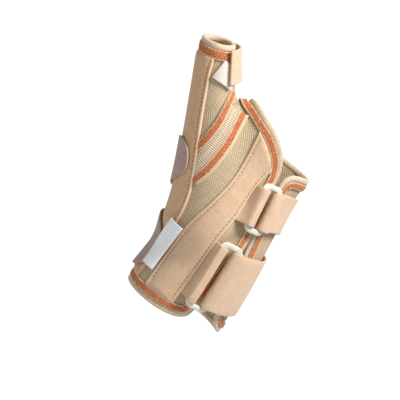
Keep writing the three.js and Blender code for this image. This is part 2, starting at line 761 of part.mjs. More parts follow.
// Cuts a strip off where it would run in under the thumb sleeve
function trimmed(geometry) {
  const under = ribbon(thumbPiping, {
    level: WALL, thickness: 2 * SLEEVE_THICKNESS, cells: 2, left: GAP, right: THUMB_SLEEVE_WIDTH,
  });
  return fromSolid(toSolid(geometry).subtract(toSolid(under)));
}

function makeGusset() {
  return trimmed(ribbon(guide(GUSSET, fromFront(TAPE_LEVEL), 12), {
    level: TAPE_LEVEL,
    thickness: GUSSET_THICKNESS,
    cells: 2,
    left: GUSSET_WIDTH / 2,
    right: GUSSET_WIDTH / 2,
  }));
}

// The stitched tape along one side of the gusset, with the ways from its guide to its two edges
function makeGussetTape(rows, left, right) {
  return trimmed(ribbon(guide(rows, fromFront(TAPE_LEVEL), 14), {
    level: TAPE_LEVEL, thickness: TAPE_THICKNESS, cells: 1, left, right,
  }));
}

function ringLength(strapWidth) {
  return strapWidth + 2 * RING_END_BAR + 2 * GAP;
}

// Place of a ring: its middle, the way across it, the way along its bars and the way out.
// The ring lies flat on whatever stands highest under it, which is its ends where the wrist is hollow.
function ringFrame({ x, at }, strapWidth) {
  const seat = placeFront(x * HALF, at * SPLINT_HEIGHT, RING_LEVEL);
  const tilted = new THREE.Vector3(-Math.sin(RING_TILT), 0, Math.cos(RING_TILT));
  const half = ringLength(strapWidth) / 2;
  const ends = [-half, half].map((way) => walk(seat, tilted, way, RING_LEVEL));
  const bars = ends[1].clone().sub(ends[0]).normalize();
  const out = normalAt(seat);
  out.addScaledVector(bars, -out.dot(bars)).normalize();
  const middle = ends[0].clone().lerp(ends[1], 0.5);
  middle.addScaledVector(out, Math.max(seat.clone().sub(middle).dot(out), 0));
  return { middle, across: bars.clone().cross(out), bars, out };
}

function roundedRectangle(path, width, length, corner) {
  const x = width / 2;
  const y = length / 2;
  path.moveTo(x, corner - y);
  path.lineTo(x, y - corner).quadraticCurveTo(x, y, x - corner, y);
  path.lineTo(corner - x, y).quadraticCurveTo(-x, y, -x, y - corner);
  path.lineTo(-x, corner - y).quadraticCurveTo(-x, -y, corner - x, -y);
  path.lineTo(x - corner, -y).quadraticCurveTo(x, -y, x, corner - y);
  return path;
}

// A ring: a flat frame with one long slot, whose two long bars carry the cloth
function makeRing(frame, strapWidth) {
  const flatWidth = RING_WIDTH - 2 * RING_BEVEL;
  const flatLength = ringLength(strapWidth) - 2 * RING_BEVEL;
  const slotWidth = RING_WIDTH - 2 * RING_SIDE_BAR + 2 * RING_BEVEL;
  const slotLength = ringLength(strapWidth) - 2 * RING_END_BAR + 2 * RING_BEVEL;
  const outer = roundedRectangle(new THREE.Shape(), flatWidth, flatLength, RING_CORNER);
  outer.holes.push(roundedRectangle(new THREE.Path(), slotWidth, slotLength, 0.2 * slotWidth));
  const geometry = new THREE.ExtrudeGeometry(outer, {
    depth: RING_THICKNESS - 2 * RING_BEVEL,
    bevelThickness: RING_BEVEL,
    bevelSize: RING_BEVEL,
    bevelSegments: 1,
    curveSegments: 3,
  });
  const place = new THREE.Matrix4().makeBasis(frame.across, frame.bars, frame.out);
  geometry.translate(0, 0, RING_BEVEL - RING_THICKNESS / 2);
  geometry.applyMatrix4(place.setPosition(frame.middle));
  return bare(geometry);
}

// Stations of a band of cloth: the middle of its inner face, the way from there to its outer face, the way
// along the bars and half its width. A station with a level lies on the form, and one without lies straight.
function onSurface(point, level, inwards, bars, half) {
  const inner = settle(point, level);
  const out = normalAt(inner).multiplyScalar(inwards ? -1 : 1);
  const flat = bars.clone().addScaledVector(out, -bars.dot(out)).normalize();
  return { inner, out, bars: flat, half, level };
}

// The cloth's inner side under a ring, at a way across it from its middle
function underRing(frame, across, half) {
  const point = frame.middle.clone().addScaledVector(frame.across, across);
  return onSurface(point, UNDER_LEVEL + STRAP_THICKNESS, true, frame.bars, half);
}

// Round a ring's bar and back over it. side is 1 for the right bar and -1 for the left.
function roundBar(frame, side, half) {
  const turns = [-90, -45, 0, 45, 90];
  const barEdge = side * (RING_WIDTH / 2 - RING_SIDE_BAR + RING_THICKNESS / 2);
  const fold = turns.map((degrees) => {
    const out = frame.out.clone().multiplyScalar(Math.sin(rad(degrees)))
      .addScaledVector(frame.across, -side * Math.cos(rad(degrees)));
    const axis = frame.middle.clone().addScaledVector(frame.across, barEdge);
    return { inner: axis.addScaledVector(out, FOLD_RADIUS), out, bars: frame.bars, half };
  });
  const over = [RING_WIDTH / 2 - 3 * GAP, RING_WIDTH / 2].map((across) => {
    const inner = frame.middle.clone().addScaledVector(frame.out, FOLD_RADIUS)
      .addScaledVector(frame.across, side * across);
    return { inner, out: frame.out, bars: frame.bars, half };
  });
  return [...fold, ...over];
}

function foldedBand(stations, cells) {
  const lower = [];
  const upper = [];
  stations.forEach(({ inner, out, bars, half, level }) => {
    const row = Array.from({ length: cells + 1 }, (_, j) => {
      const share = mix(-1, 1, j / cells);
      if (level === undefined) return { p: inner.clone().addScaledVector(bars, share * half), out };
      const p = walk(inner, bars, share * half, level);
      return { p, out: normalAt(p).multiplyScalar(Math.sign(out.dot(normalAt(p)))) };
    });
    lower.push(row.map(({ p }) => p));
    upper.push(row.map(({ p, out: way }) => p.clone().addScaledVector(way, STRAP_THICKNESS)));
  });
  return slab(lower, upper);
}

// The short velour tab that holds a ring to the sleeve: two layers round the ring's left bar
function makeRingTab(frame, strapWidth) {
  const half = strapWidth / 2;
  const end = RING_WIDTH / 2 + 1.5 * GAP;
  const under = [end, end - 6 * GAP, SLOT_SIDE + 4 * GAP].map((across) => underRing(frame, -across, half));
  const endPoint = frame.middle.clone().addScaledVector(frame.across, -end);
  const overEnd = onSurface(endPoint, OVER_LEVEL + GAP, false, frame.bars, half);
  return foldedBand([...under, ...roundBar(frame, -1, half), overEnd], 2);
}

// Points of a strap's middle line from the ring to its tip, with the half width that rounds the tip off
function strapTail(rows, half) {
  const curve = new THREE.CatmullRomCurve3(rows.map(({ turn, at, level }) => (
    new THREE.Vector3(turn, at * SPLINT_HEIGHT, level)
  )));
  const tail = Array.from({ length: STRAP_STEPS + 1 }, (_, i) => {
    const { x: turn, y: z, z: level } = curve.getPoint(i / STRAP_STEPS);
    return { point: placeRound(turn, z, level), level };
  });
  let left = 0;
  for (let i = STRAP_STEPS; i >= 0; i -= 1) {
    if (i < STRAP_STEPS) left += tail[i].point.distanceTo(tail[i + 1].point);
    const share = Math.min(left / half, 1);
    tail[i].half = half * Math.max(Math.sqrt(1 - (1 - share) ** 2), TIP_BLUNTNESS);
  }
  return tail;
}

// A strap: from the right flap under the ring, round its right bar and back over it, then round the back
// to its tip
function makeStrap(frame, rows, strapWidth) {
  const half = strapWidth / 2;
  const under = rows.filter(({ turn }) => turn <= UNDER_STRAP_END).reverse().map(({ turn, at, level }) => (
    onSurface(
      placeRound(turn, at * SPLINT_HEIGHT, level), UNDER_LEVEL + STRAP_THICKNESS, true, frame.bars, half,
    )
  ));
  const tail = strapTail(rows, half);
  const round = tail.map(({ point, level, half: narrow }, i) => {
    const before = tail[Math.max(i - 1, 0)].point;
    const after = tail[Math.min(i + 1, STRAP_STEPS)].point;
    const out = normalAt(point);
    const bars = out.clone().cross(after.clone().sub(before)).normalize();
    return { inner: point, out, bars, half: narrow, level };
  });
  const nearBar = underRing(frame, SLOT_SIDE + 5 * GAP, half);
  return foldedBand([...under, nearBar, ...roundBar(frame, 1, half), ...round], 4);
}

// The stitched tape that holds the binding on, just inside it all round
function makeEdgeTape() {
  const start = BINDING_WIDTH + 1.5 * GAP;
  const lines = [start, start + TAPE_WIDTH].map((way) => inset(edgeStations, way, EDGE_TAPE_LEVEL));
  return makeLoop(...lines, TAPE_THICKNESS);
}

function makeCuffTape() {
  const start = BINDING_WIDTH + 1.5 * GAP;
  const lines = [start, start + CUFF_TAPE_WIDTH].map((below) => rimLine(below, TAPE_LEVEL, CUFF_STEPS));
  return makeLoop(...lines, CUFF_TAPE_THICKNESS);
}

// The white square of hook tape under the thumb strap
function makeHookTab() {
  const [low, high] = HOOK_TAB_EDGE.map(fromFront(HOOK_LEVEL));
  const way = high.clone().sub(low).normalize();
  const edge = [0, 0.25, 0.5, 0.75, 1].map((share) => (
    low.clone().addScaledVector(way, share * HOOK_TAB_HEIGHT)
  ));
  return ribbon(edge, {
    level: HOOK_LEVEL, thickness: HOOK_TAB_THICKNESS, cells: 6, left: 0, right: HOOK_TAB_WIDTH,
  });
}

// The short strap round the thumb, from its free end at the front over the right side to the back
function makeThumbStrap() {
  const lower = THUMB_STRAP.map(({ turn, level }) => {
    const direction = THUMB_ACROSS.clone().multiplyScalar(Math.cos(rad(turn)))
      .addScaledVector(THUMB_BACK, Math.sin(rad(turn)));
    return [0, 0.5, 1].map((share) => (
      cross(onThumb(THUMB_STRAP_START + share * THUMB_STRAP_WIDTH), direction, level, true)
    ));
  });
  return slab(lower, raised(lower, THUMB_STRAP_THICKNESS));
}

// The sewn-in label: one long edge by the wide sleeve, the other lying on the strap's tip
function makeLabel() {
  const { right, top } = LABEL_PLACE;
  const steps = 5;
  const lower = Array.from({ length: steps + 1 }, (_, i) => {
    const z = top * SPLINT_HEIGHT - (i / steps) * LABEL_LENGTH;
    const start = placeFront(right * HALF, z, LABEL_LOW);
    return [0, 0.5, 1].map((share) => {
      const level = mix(LABEL_LOW, LABEL_HIGH, Math.sqrt(share));
      return walk(start, new THREE.Vector3(-1, 0, 0), share * LABEL_WIDTH, level);
    });
  });
  return slab(lower, raised(lower, LABEL_THICKNESS));
}

const group = new THREE.Group();
function addPiece(name, geometry, finish) {
  const mesh = new THREE.Mesh(geometry, new THREE.MeshStandardMaterial({ metalness: 0, ...finish }));
  mesh.name = name;
  group.add(mesh);
}

const wristRing = ringFrame(WRIST_RING_PLACE, WRIST_STRAP_WIDTH);
const palmRing = ringFrame(PALM_RING_PLACE, PALM_STRAP_WIDTH);
const lowerTape = makeGussetTape(GUSSET, LOWER_TAPE_AT + GUSSET_TAPE_WIDTH, -LOWER_TAPE_AT);
const upperTape = makeGussetTape(GUSSET_TAPE_UPPER, GUSSET_TAPE_WIDTH / 2, GUSSET_TAPE_WIDTH / 2);

addPiece('wrist_wrap', makeWrap(), KNIT);
addPiece('thumb_tube', makeThumbTube(), KNIT);
addPiece('edge_binding', makeBinding(inset(edgeStations, BINDING_WIDTH / 2, WALL / 2)), BINDING);
addPiece('edge_tape', makeEdgeTape(), STITCHED_TAPE);
addPiece('cuff_binding', makeBinding(rimLine(BINDING_WIDTH / 2, WALL / 2, CUFF_STEPS)), BINDING);
addPiece('cuff_tape', makeCuffTape(), STITCHED_TAPE);
addPiece('forearm_stay_sleeve', makeForearmSleeve(), VELOUR);
addPiece('thumb_stay_sleeve', makeThumbSleeve(), VELOUR);
addPiece('gusset_panel', makeGusset(), ELASTIC);
addPiece('gusset_tape_lower', lowerTape, STITCHED_TAPE);
addPiece('gusset_tape_upper', upperTape, STITCHED_TAPE);
addPiece('wrist_ring', makeRing(wristRing, WRIST_STRAP_WIDTH), PLASTIC);
addPiece('wrist_ring_tab', makeRingTab(wristRing, WRIST_STRAP_WIDTH), VELOUR);
addPiece('wrist_strap', makeStrap(wristRing, WRIST_STRAP, WRIST_STRAP_WIDTH), STRAP_LOOP);
addPiece('palm_ring', makeRing(palmRing, PALM_STRAP_WIDTH), PLASTIC);
addPiece('palm_ring_tab', makeRingTab(palmRing, PALM_STRAP_WIDTH), VELOUR);
addPiece('palm_strap', makeStrap(palmRing, PALM_STRAP, PALM_STRAP_WIDTH), STRAP_LOOP);
addPiece('thumb_hook_tab', makeHookTab(), HOOK);
addPiece('thumb_strap', makeThumbStrap(), STRAP_LOOP);
addPiece('label', makeLabel(), SATIN);

export default group;
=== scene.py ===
# Thumb spica splint: knit, velour, tapes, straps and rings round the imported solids.
# Places are worked out in millimetres on the form of its hollow and turned to metres as each mesh is made.
import math

import bmesh
import bpy
import numpy as np
from mathutils import Matrix, Vector


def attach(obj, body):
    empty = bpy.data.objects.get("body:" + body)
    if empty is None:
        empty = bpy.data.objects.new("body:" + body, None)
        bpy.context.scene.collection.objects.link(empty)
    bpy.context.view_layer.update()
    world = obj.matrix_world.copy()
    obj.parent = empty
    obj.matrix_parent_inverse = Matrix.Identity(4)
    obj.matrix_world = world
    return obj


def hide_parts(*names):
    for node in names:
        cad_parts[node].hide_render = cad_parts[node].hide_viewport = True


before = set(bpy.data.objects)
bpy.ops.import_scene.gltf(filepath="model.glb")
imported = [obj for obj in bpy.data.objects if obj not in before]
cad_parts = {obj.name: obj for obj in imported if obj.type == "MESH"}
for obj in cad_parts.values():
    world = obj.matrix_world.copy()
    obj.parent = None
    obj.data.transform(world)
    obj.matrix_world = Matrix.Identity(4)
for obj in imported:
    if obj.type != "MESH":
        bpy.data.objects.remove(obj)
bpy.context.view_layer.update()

MM = 0.001
rad = math.radians

# Sizes of the hollow, which is the inner face of the knit wall
SPLINT_HEIGHT = 140.0
FOREARM_BREADTH, FOREARM_DEPTH = 68.0, 56.0
WRIST_BREADTH, WRIST_DEPTH = 60.0, 46.0
PALM_BREADTH, PALM_DEPTH = 70.0, 37.0
ARM_TURN = rad(40)
THUMB_REACH = 38.0
THUMB_ROOT_REACH = 75.0
THUMB_ROOT_DIAMETER = 36.0
THUMB_MIDDLE_DIAMETER = 27.0
THUMB_WEB_DIAMETER = 22.0
THUMB_RIM_DIAMETER = 16.2
THUMB_LEAN = rad(30.4)
THUMB_FORWARD = rad(10)
RIM_SLANT = rad(11.5)
WEB_FILLET = 18.0
SEAM_AT = 1.0
SEAM_OVERLAP = 0.05

# Cloth and plastic
WALL = 2.2
GAP = 0.5
BINDING_WIDTH = 3.2
BINDING_PROUD = 0.35
TAPE_WIDTH = 4.2
TAPE_THICKNESS = 0.5
CUFF_TAPE_WIDTH = 5.4
CUFF_TAPE_THICKNESS = 0.8
SLEEVE_THICKNESS = 1.7
THUMB_SLEEVE_WIDTH = 30.0
FOREARM_HEM = 2.2
THUMB_HEM = 1.9
GUSSET_WIDTH = 5.6
GUSSET_THICKNESS = 0.9
RIB_PITCH = 1.25
GUSSET_TAPE_WIDTH = 5.0
STRAP_THICKNESS = 1.2
WRIST_STRAP_WIDTH = 40.0
PALM_STRAP_WIDTH = 25.0
THUMB_STRAP_WIDTH = 21.0
THUMB_STRAP_THICKNESS = 1.3
HOOK_TAB_WIDTH = 15.0
HOOK_TAB_HEIGHT = 12.5
HOOK_TAB_THICKNESS = 0.7
RING_WIDTH = 17.0
RING_THICKNESS = 2.4
RING_SIDE_BAR = 4.8
RING_END_BAR = 3.4
RING_CORNER = 5.0
RING_TILT = rad(5)
LABEL_LENGTH = 34.0
LABEL_WIDTH = 10.4
LABEL_THICKNESS = 0.4
# How far cloth runs on under the tape or hem that holds it, and the lower gusset tape's bare outer edge
TUCK = 1.2
GUSSET_TUCK = 1.8
BROAD_EDGE = 1.3

# Heights of the layers above the hollow
TAPE_LEVEL = WALL + GAP
EDGE_TAPE_LEVEL = TAPE_LEVEL + GAP / 3
SLEEVE_TOP = TAPE_LEVEL + SLEEVE_THICKNESS
UNDER_LEVEL = TAPE_LEVEL + TAPE_THICKNESS + GAP
FOLD_RADIUS = RING_THICKNESS / 2 + 1.5 * GAP
RING_LEVEL = UNDER_LEVEL + STRAP_THICKNESS + FOLD_RADIUS
OVER_LEVEL = UNDER_LEVEL + STRAP_THICKNESS + GAP
TIP_LEVEL = SLEEVE_TOP + 1.5 * GAP
BACK_LEVEL = UNDER_LEVEL - GAP
CUFF_TOP = TAPE_LEVEL + CUFF_TAPE_THICKNESS
HOOK_LEVEL = UNDER_LEVEL
HOOK_TOP = HOOK_LEVEL + HOOK_TAB_THICKNESS
LABEL_LOW = SLEEVE_TOP + GAP
LABEL_HIGH = TIP_LEVEL + STRAP_THICKNESS + GAP

HALF = FOREARM_BREADTH / 2


def mix(a, b, t):
    """The value a share t of the way from a to b."""
    return a + (b - a) * t


# Sections across the arm: at is a share of the height, x and y are shares of half the forearm's breadth
ARM = {
    "at": [0.00, 0.22, 0.48, 0.75, 1.00],
    "x": [0.00, -0.015, -0.09, -0.28, -0.19],
    "y": [0.06, 0.06, 0.03, 0.00, 0.00],
    "breadth": [
        FOREARM_BREADTH, mix(FOREARM_BREADTH, WRIST_BREADTH, 0.5), WRIST_BREADTH,
        mix(WRIST_BREADTH, PALM_BREADTH, 0.75), PALM_BREADTH,
    ],
    "depth": [
        FOREARM_DEPTH, mix(FOREARM_DEPTH, WRIST_DEPTH, 0.3), WRIST_DEPTH,
        mix(WRIST_DEPTH, PALM_DEPTH, 0.9), PALM_DEPTH,
    ],
}
# Sections across the thumb: at is the way along its axis from the web
THUMB = {
    "at": [-THUMB_ROOT_REACH, -0.47 * THUMB_ROOT_REACH, 0.0, THUMB_REACH],
    "wide": [
        THUMB_ROOT_DIAMETER, THUMB_MIDDLE_DIAMETER, 0.97 * THUMB_WEB_DIAMETER, 0.96 * THUMB_RIM_DIAMETER,
    ],
    "deep": [
        0.95 * THUMB_ROOT_DIAMETER, 1.04 * THUMB_MIDDLE_DIAMETER, 1.04 * THUMB_WEB_DIAMETER,
        1.05 * THUMB_RIM_DIAMETER,
    ],
}
THUMB_WEB = np.array([-1.656 * HALF, -0.79 * HALF, 0.893 * SPLINT_HEIGHT])
THUMB_AXIS = np.array([
    -math.sin(THUMB_LEAN) * math.cos(THUMB_FORWARD),
    -math.sin(THUMB_FORWARD),
    math.cos(THUMB_LEAN) * math.cos(THUMB_FORWARD),
])
THUMB_ACROSS = np.cross([0.0, 1.0, 0.0], THUMB_AXIS)
THUMB_ACROSS /= np.linalg.norm(THUMB_ACROSS)
THUMB_BACK = np.cross(THUMB_AXIS, THUMB_ACROSS)

# The wrap's cut edge seen from the arm's axis: degrees from the front towards +X, and shares of the height
OUTLINE = [
    (20, 0.055), (10, 0.028), (-9, 0.010), (-36, 0.002), (-90, 0.000), (-150, 0.000), (-210, 0.004),
    (-250, 0.014), (-278, 0.040), (-293, 0.068), (-300, 0.115), (-309, 0.250), (-317, 0.440),
    (-317, 0.540), (-306, 0.740), (-303, 0.785), (-292, 0.818), (-272, 0.832), (-250, 0.831),
    (-232, 0.830), (-212, 0.832), (-180, 0.840), (-140, 0.870), (-105, 0.925), (-75, 0.980),
    (-50, 1.000), (-28, 0.970), (5, 0.905), (27, 0.850), (41, 0.790), (44, 0.740), (41, 0.530),
    (38, 0.420), (31, 0.230), (24, 0.105),
]
# Strips seen from the front: x as a share of half the forearm's breadth, height as a share of the splint's
THUMB_PIPING = [
    (-2.03, 1.034), (-1.97, 0.995), (-1.88, 0.949), (-1.79, 0.903), (-1.59, 0.805), (-1.385, 0.711),
    (-1.17, 0.612), (-0.96, 0.495), (-0.87, 0.375), (-0.86, 0.200), (-0.86, 0.090),
]
GUSSET = [
    (-1.255, 0.925), (-1.210, 0.878), (-1.176, 0.836), (-1.154, 0.791), (-1.151, 0.747),
    (-1.158, 0.699), (-1.176, 0.649), (-1.230, 0.585),
]
GUSSET_TAPE_UPPER = [
    (-1.465, 0.980), (-1.428, 0.948), (-1.396, 0.914), (-1.366, 0.880), (-1.342, 0.848),
    (-1.334, 0.812), (-1.338, 0.776), (-1.350, 0.738), (-1.400, 0.680),
]
SLEEVE_LEFT = [
    (-0.66, 0.068), (-0.685, 0.250), (-0.69, 0.410), (-0.60, 0.540), (-0.54, 0.665), (-0.58, 0.790),
    (-0.64, 0.878),
]
SLEEVE_RIGHT = [
    (-0.06, 0.074), (-0.06, 0.250), (-0.10, 0.410), (-0.08, 0.540), (-0.11, 0.650), (-0.115, 0.730),
    (-0.075, 0.785),
]
# Middle lines of the straps: turn, share of the height and level
WRIST_STRAP = [
    (52, 0.280, OVER_LEVEL + 1.2), (70, 0.286, OVER_LEVEL + 0.2), (82, 0.290, OVER_LEVEL - 0.2),
    (100, 0.291, BACK_LEVEL + 0.3), (118, 0.285, BACK_LEVEL), (180, 0.255, BACK_LEVEL + 0.2),
    (235, 0.226, UNDER_LEVEL), (262, 0.214, TIP_LEVEL), (312, 0.216, TIP_LEVEL),
]
PALM_STRAP = [
    (60, 0.648, OVER_LEVEL + 1.0), (76, 0.652, OVER_LEVEL + 0.2), (88, 0.651, OVER_LEVEL - 0.2),
    (104, 0.643, BACK_LEVEL + 0.3), (120, 0.625, BACK_LEVEL + 0.2), (180, 0.550, UNDER_LEVEL + 0.6),
    (235, 0.520, UNDER_LEVEL), (270, 0.540, TIP_LEVEL), (296, 0.590, TIP_LEVEL), (311, 0.665, TIP_LEVEL),
]
UNDER_STRAP_END = 78
WRIST_RING_PLACE = (0.253, 0.275)
PALM_RING_PLACE = (0.226, 0.637)
LABEL_RIGHT, LABEL_TOP = -0.71, 0.372
HOOK_TAB_EDGE = [(-1.90, 0.985), (-1.90, 1.090)]
THUMB_STRAP_START = 13.5
THUMB_STRAP = [
    (-50, HOOK_TOP + 2 * GAP), (-28, HOOK_TOP + GAP), (-6, HOOK_TOP + GAP), (16, HOOK_TOP + GAP),
    (38, HOOK_TOP + GAP), (60, HOOK_TOP), (82, CUFF_TOP + GAP), (104, CUFF_TOP + GAP),
]


# The hollow's form, as in the solids
def along(rows, column, at):
    """One column of a table on a smooth curve through its rows."""
    ats, values = np.array(rows["at"]), np.array(rows[column])
    at = np.clip(at, ats[0], ats[-1])
    last = len(ats) - 1
    low, high = np.maximum(np.arange(last + 1) - 1, 0), np.minimum(np.arange(last + 1) + 1, last)
    slope = (values[high] - values[low]) / (ats[high] - ats[low])
    i = np.clip(np.searchsorted(ats, at, side="right") - 1, 0, last - 1)
    span = ats[i + 1] - ats[i]
    t = (at - ats[i]) / span
    keep = (1 + 2 * t) * (1 - t) ** 2
    return (keep * values[i] + (1 - keep) * values[i + 1]
            + t * (1 - t) ** 2 * span * slope[i] - t * t * (1 - t) * span * slope[i + 1])


def from_ellipse(u, v, w, a, b):
    """Height above an ellipse with half axes a and b, rounded off where w is the way past its end."""
    share = np.sqrt((u / a) ** 2 + (v / b) ** 2 + (w / a) ** 2)
    steep = np.sqrt((u / a ** 2) ** 2 + (v / b ** 2) ** 2 + (w / a ** 2) ** 2)
    return (share - 1) * share / np.maximum(steep, 1e-6)


def arm_middle(z):
    """Middle of the arm's section at each height."""
    at = np.asarray(z, float) / SPLINT_HEIGHT
    return np.stack([HALF * along(ARM, "x", at), HALF * along(ARM, "y", at), at * SPLINT_HEIGHT], axis=-1)


def form(p):
    """Height of points above the hollow: the arm and the thumb, joined by a soft fillet."""
    at = p[..., 2] / SPLINT_HEIGHT
    x = p[..., 0] - HALF * along(ARM, "x", at)
    y = p[..., 1] - HALF * along(ARM, "y", at)
    u = x * math.cos(ARM_TURN) + y * math.sin(ARM_TURN)
    v = y * math.cos(ARM_TURN) - x * math.sin(ARM_TURN)
    arm = from_ellipse(u, v, 0.0, along(ARM, "breadth", at) / 2, along(ARM, "depth", at) / 2)
    way = p - THUMB_WEB
    at = way @ THUMB_AXIS
    beyond = np.minimum(0.0, at + THUMB_ROOT_REACH)
    thumb = from_ellipse(
        way @ THUMB_ACROSS, way @ THUMB_BACK, beyond,
        along(THUMB, "wide", at) / 2, along(THUMB, "deep", at) / 2,
    )
    near = np.maximum(WEB_FILLET - np.abs(arm - thumb), 0.0) / WEB_FILLET
    return np.minimum(arm, thumb) - near * near * WEB_FILLET / 4


def unit(v):
    """Each vector at a length of one."""
    return v / np.maximum(np.linalg.norm(v, axis=-1, keepdims=True), 1e-9)


def normal_at(p):
    """The way straight out from the form at each point."""
    step = 0.05
    return unit(np.stack([form(p + step * axis) - form(p - step * axis) for axis in np.eye(3)], axis=-1))


def settle(p, level):
    """Points moved straight onto the surface at a level above the hollow."""
    q = np.array(p, float)
    for _ in range(5):
        q = q + normal_at(q) * (level - form(q))[..., None]
    return q


def cross(start, direction, level, outwards):
    """First crossing of a level on the way from each start point."""
    sign = 1.0 if outwards else -1.0
    level = np.broadcast_to(np.asarray(level, float), start.shape[:-1])

    def miss(t):
        """How far a point is still from the level, above zero before the crossing."""
        return sign * (level - form(start + direction * t[..., None]))

    # Paces of half the height that is left, at least 0.2 mm and up to 200 mm away, and then halving
    far = np.zeros(start.shape[:-1])
    for _ in range(400):
        short = miss(far)
        if not (short > 0).any():
            break
        far = np.where((short > 0) & (far < 200), far + np.maximum(0.5 * short, 0.2), far)
    near = np.maximum(far - 2, 0)
    for _ in range(20):
        middle = (near + far) / 2
        inside = miss(middle) > 0
        near = np.where(inside, middle, near)
        far = np.where(inside, far, middle)
    return start + direction * far[..., None]


def place_round(turn, z, level):
    """Surface points at turns from the front, seen from the arm's middle, and at heights."""
    turn, z = np.broadcast_arrays(np.radians(turn), np.asarray(z, float))
    direction = np.stack([np.sin(turn), -np.cos(turn), np.zeros_like(turn)], axis=-1)
    return cross(arm_middle(z), direction, level, True)


def place_front(x, z, level):
    """Surface points under places that are seen from the front."""
    x, z = np.broadcast_arrays(np.asarray(x, float), np.asarray(z, float))
    start = np.stack([x, np.full_like(x, -3 * HALF), z], axis=-1)
    return cross(start, np.broadcast_to([0.0, 1.0, 0.0], start.shape), level, False)


def walk(start, direction, distance, level, steps=12):
    """Walks along the surface from each point by its own distance."""
    p = np.array(start, float)
    heading = np.array(np.broadcast_to(direction, p.shape), float)
    pace = np.asarray(distance, float)[..., None] / steps
    for _ in range(steps):
        p = settle(p + heading * pace, level)
        out = normal_at(p)
        heading = unit(heading - out * (heading * out).sum(-1, keepdims=True))
    return p


def curve(points, t, closed=False):
    """Centripetal spline through points, t running from 0 to 1."""
    points = np.array(points, float)
    count = len(points)
    spot = np.asarray(t, float) * (count if closed else count - 1)
    i = np.floor(spot).astype(int)
    if closed:
        a, b, c, d = (points[(i + k) % count] for k in (-1, 0, 1, 2))
    else:
        i = np.clip(i, 0, count - 2)
        past_ends = np.vstack([2 * points[0] - points[1], points, 2 * points[-1] - points[-2]])
        a, b, c, d = (past_ends[i + k] for k in (0, 1, 2, 3))
    t = (spot - i)[..., None]

    def pace(p, q):
        """Root of the distance between two points, which keeps the spline from looping."""
        return np.maximum(((p - q) ** 2).sum(-1, keepdims=True) ** 0.25, 1e-6)

    first, middle, third = pace(a, b), pace(b, c), pace(c, d)
    leave = ((b - a) / first - (c - a) / (first + middle) + (c - b) / middle) * middle
    arrive = ((c - b) / middle - (d - b) / (middle + third) + (d - c) / third) * middle
    return (b + leave * t + (-3 * b + 3 * c - 2 * leave - arrive) * t ** 2
            + (2 * b - 2 * c + leave + arrive) * t ** 3)


def lengths(points):
    """Way gone along a line at each of its points."""
    return np.concatenate([[0.0], np.cumsum(np.linalg.norm(np.diff(points, axis=0), axis=1))])


def spaced(points, count, closed=False):
    """Evenly spaced points on the spline through some points."""
    fine = curve(points, np.linspace(0, 1, 600), closed)
    gone = lengths(fine)
    want = np.linspace(0, gone[-1], count + 1)
    return np.stack([np.interp(want, gone, fine[:, k]) for k in range(fine.shape[1])], axis=-1)


def front_line(rows, level, count):
    """Evenly spaced points on the surface under a line that is seen from the front."""
    rows = np.array(rows)
    return spaced(place_front(rows[:, 0] * HALF, rows[:, 1] * SPLINT_HEIGHT, level), count)


# Making meshes
def numbered_grid(rows, columns):
    """A flat grid of one by one, with the number of each vertex's row and column."""
    bm = bmesh.new()
    bmesh.ops.create_grid(bm, x_segments=rows, y_segments=columns, size=0.5)
    shares = np.array([v.co[:2] for v in bm.verts]) + 0.5
    i, j = np.rint(shares * (rows, columns)).astype(int).T
    return bm, i, j


def shape_grid(bm, points, along_mm, across_mm):
    """Moves a grid's vertices to their places and lays its cloth coordinates, in millimetres."""
    for vert, p in zip(bm.verts, points * MM):
        vert.co = p
    layer = bm.loops.layers.uv.new("cloth")
    bm.verts.index_update()
    for face in bm.faces:
        for loop in face.loops:
            loop[layer].uv = (along_mm[loop.vert.index], across_mm[loop.vert.index])


def face_outwards(bm):
    """Turns an open sheet's faces away from the hollow."""
    bm.normal_update()
    centres = np.array([f.calc_center_median() for f in bm.faces]) / MM
    normals = np.array([f.normal for f in bm.faces])
    if (normals * normal_at(centres)).sum() < 0:
        bmesh.ops.reverse_faces(bm, faces=bm.faces)


def finish_mesh(name, bm, material, sharp=60):
    """Turns a bmesh into a smooth-shaded object whose sharp edges stay sharp."""
    bm.normal_update()
    for face in bm.faces:
        face.smooth = True
    for edge in bm.edges:
        edge.smooth = len(edge.link_faces) != 2 or edge.calc_face_angle(0) < rad(sharp)
    mesh = bpy.data.meshes.new(name)
    bm.to_mesh(mesh)
    bm.free()
    obj = bpy.data.objects.new(name, mesh)
    bpy.context.scene.collection.objects.link(obj)
    mesh.materials.append(material)
    return obj


def thicken(obj, thickness, bevel=0.0):
    """Gives a sheet its thickness, downwards from its face, and softly rounded edges."""
    wall = obj.modifiers.new("thickness", "SOLIDIFY")
    wall.thickness = thickness * MM
    wall.offset = -1
    if bevel:
        edge = obj.modifiers.new("soft_edge", "BEVEL")
        edge.width = bevel * MM
        edge.segments = 2
        edge.limit_method = "ANGLE"
        edge.angle_limit = rad(50)
    return obj


def put(obj, slot, *nodes):
    """Lets a piece ride on the splint and stand for its solids; its slot is not used."""
    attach(obj, "root")
    if nodes:
        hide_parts(*nodes)
    return obj


# Materials
def hex_colour(code):
    """A hex colour as the eye sees it, turned to the renderer's linear one."""
    parts = [int(code[i:i + 2], 16) / 255 for i in (0, 2, 4)]
    return [c / 12.92 if c <= 0.04045 else ((c + 0.055) / 1.055) ** 2.4 for c in parts] + [1.0]


def add(tree, kind, inputs=None, links=None, **settings):
    """Adds a node with its settings, its inputs' values and its links."""
    made = tree.nodes.new(kind)
    for key, value in settings.items():
        setattr(made, key, value)
    for key, value in (inputs or {}).items():
        made.inputs[key].default_value = value
    for key, source in (links or {}).items():
        tree.links.new(source, made.inputs[key])
    return made


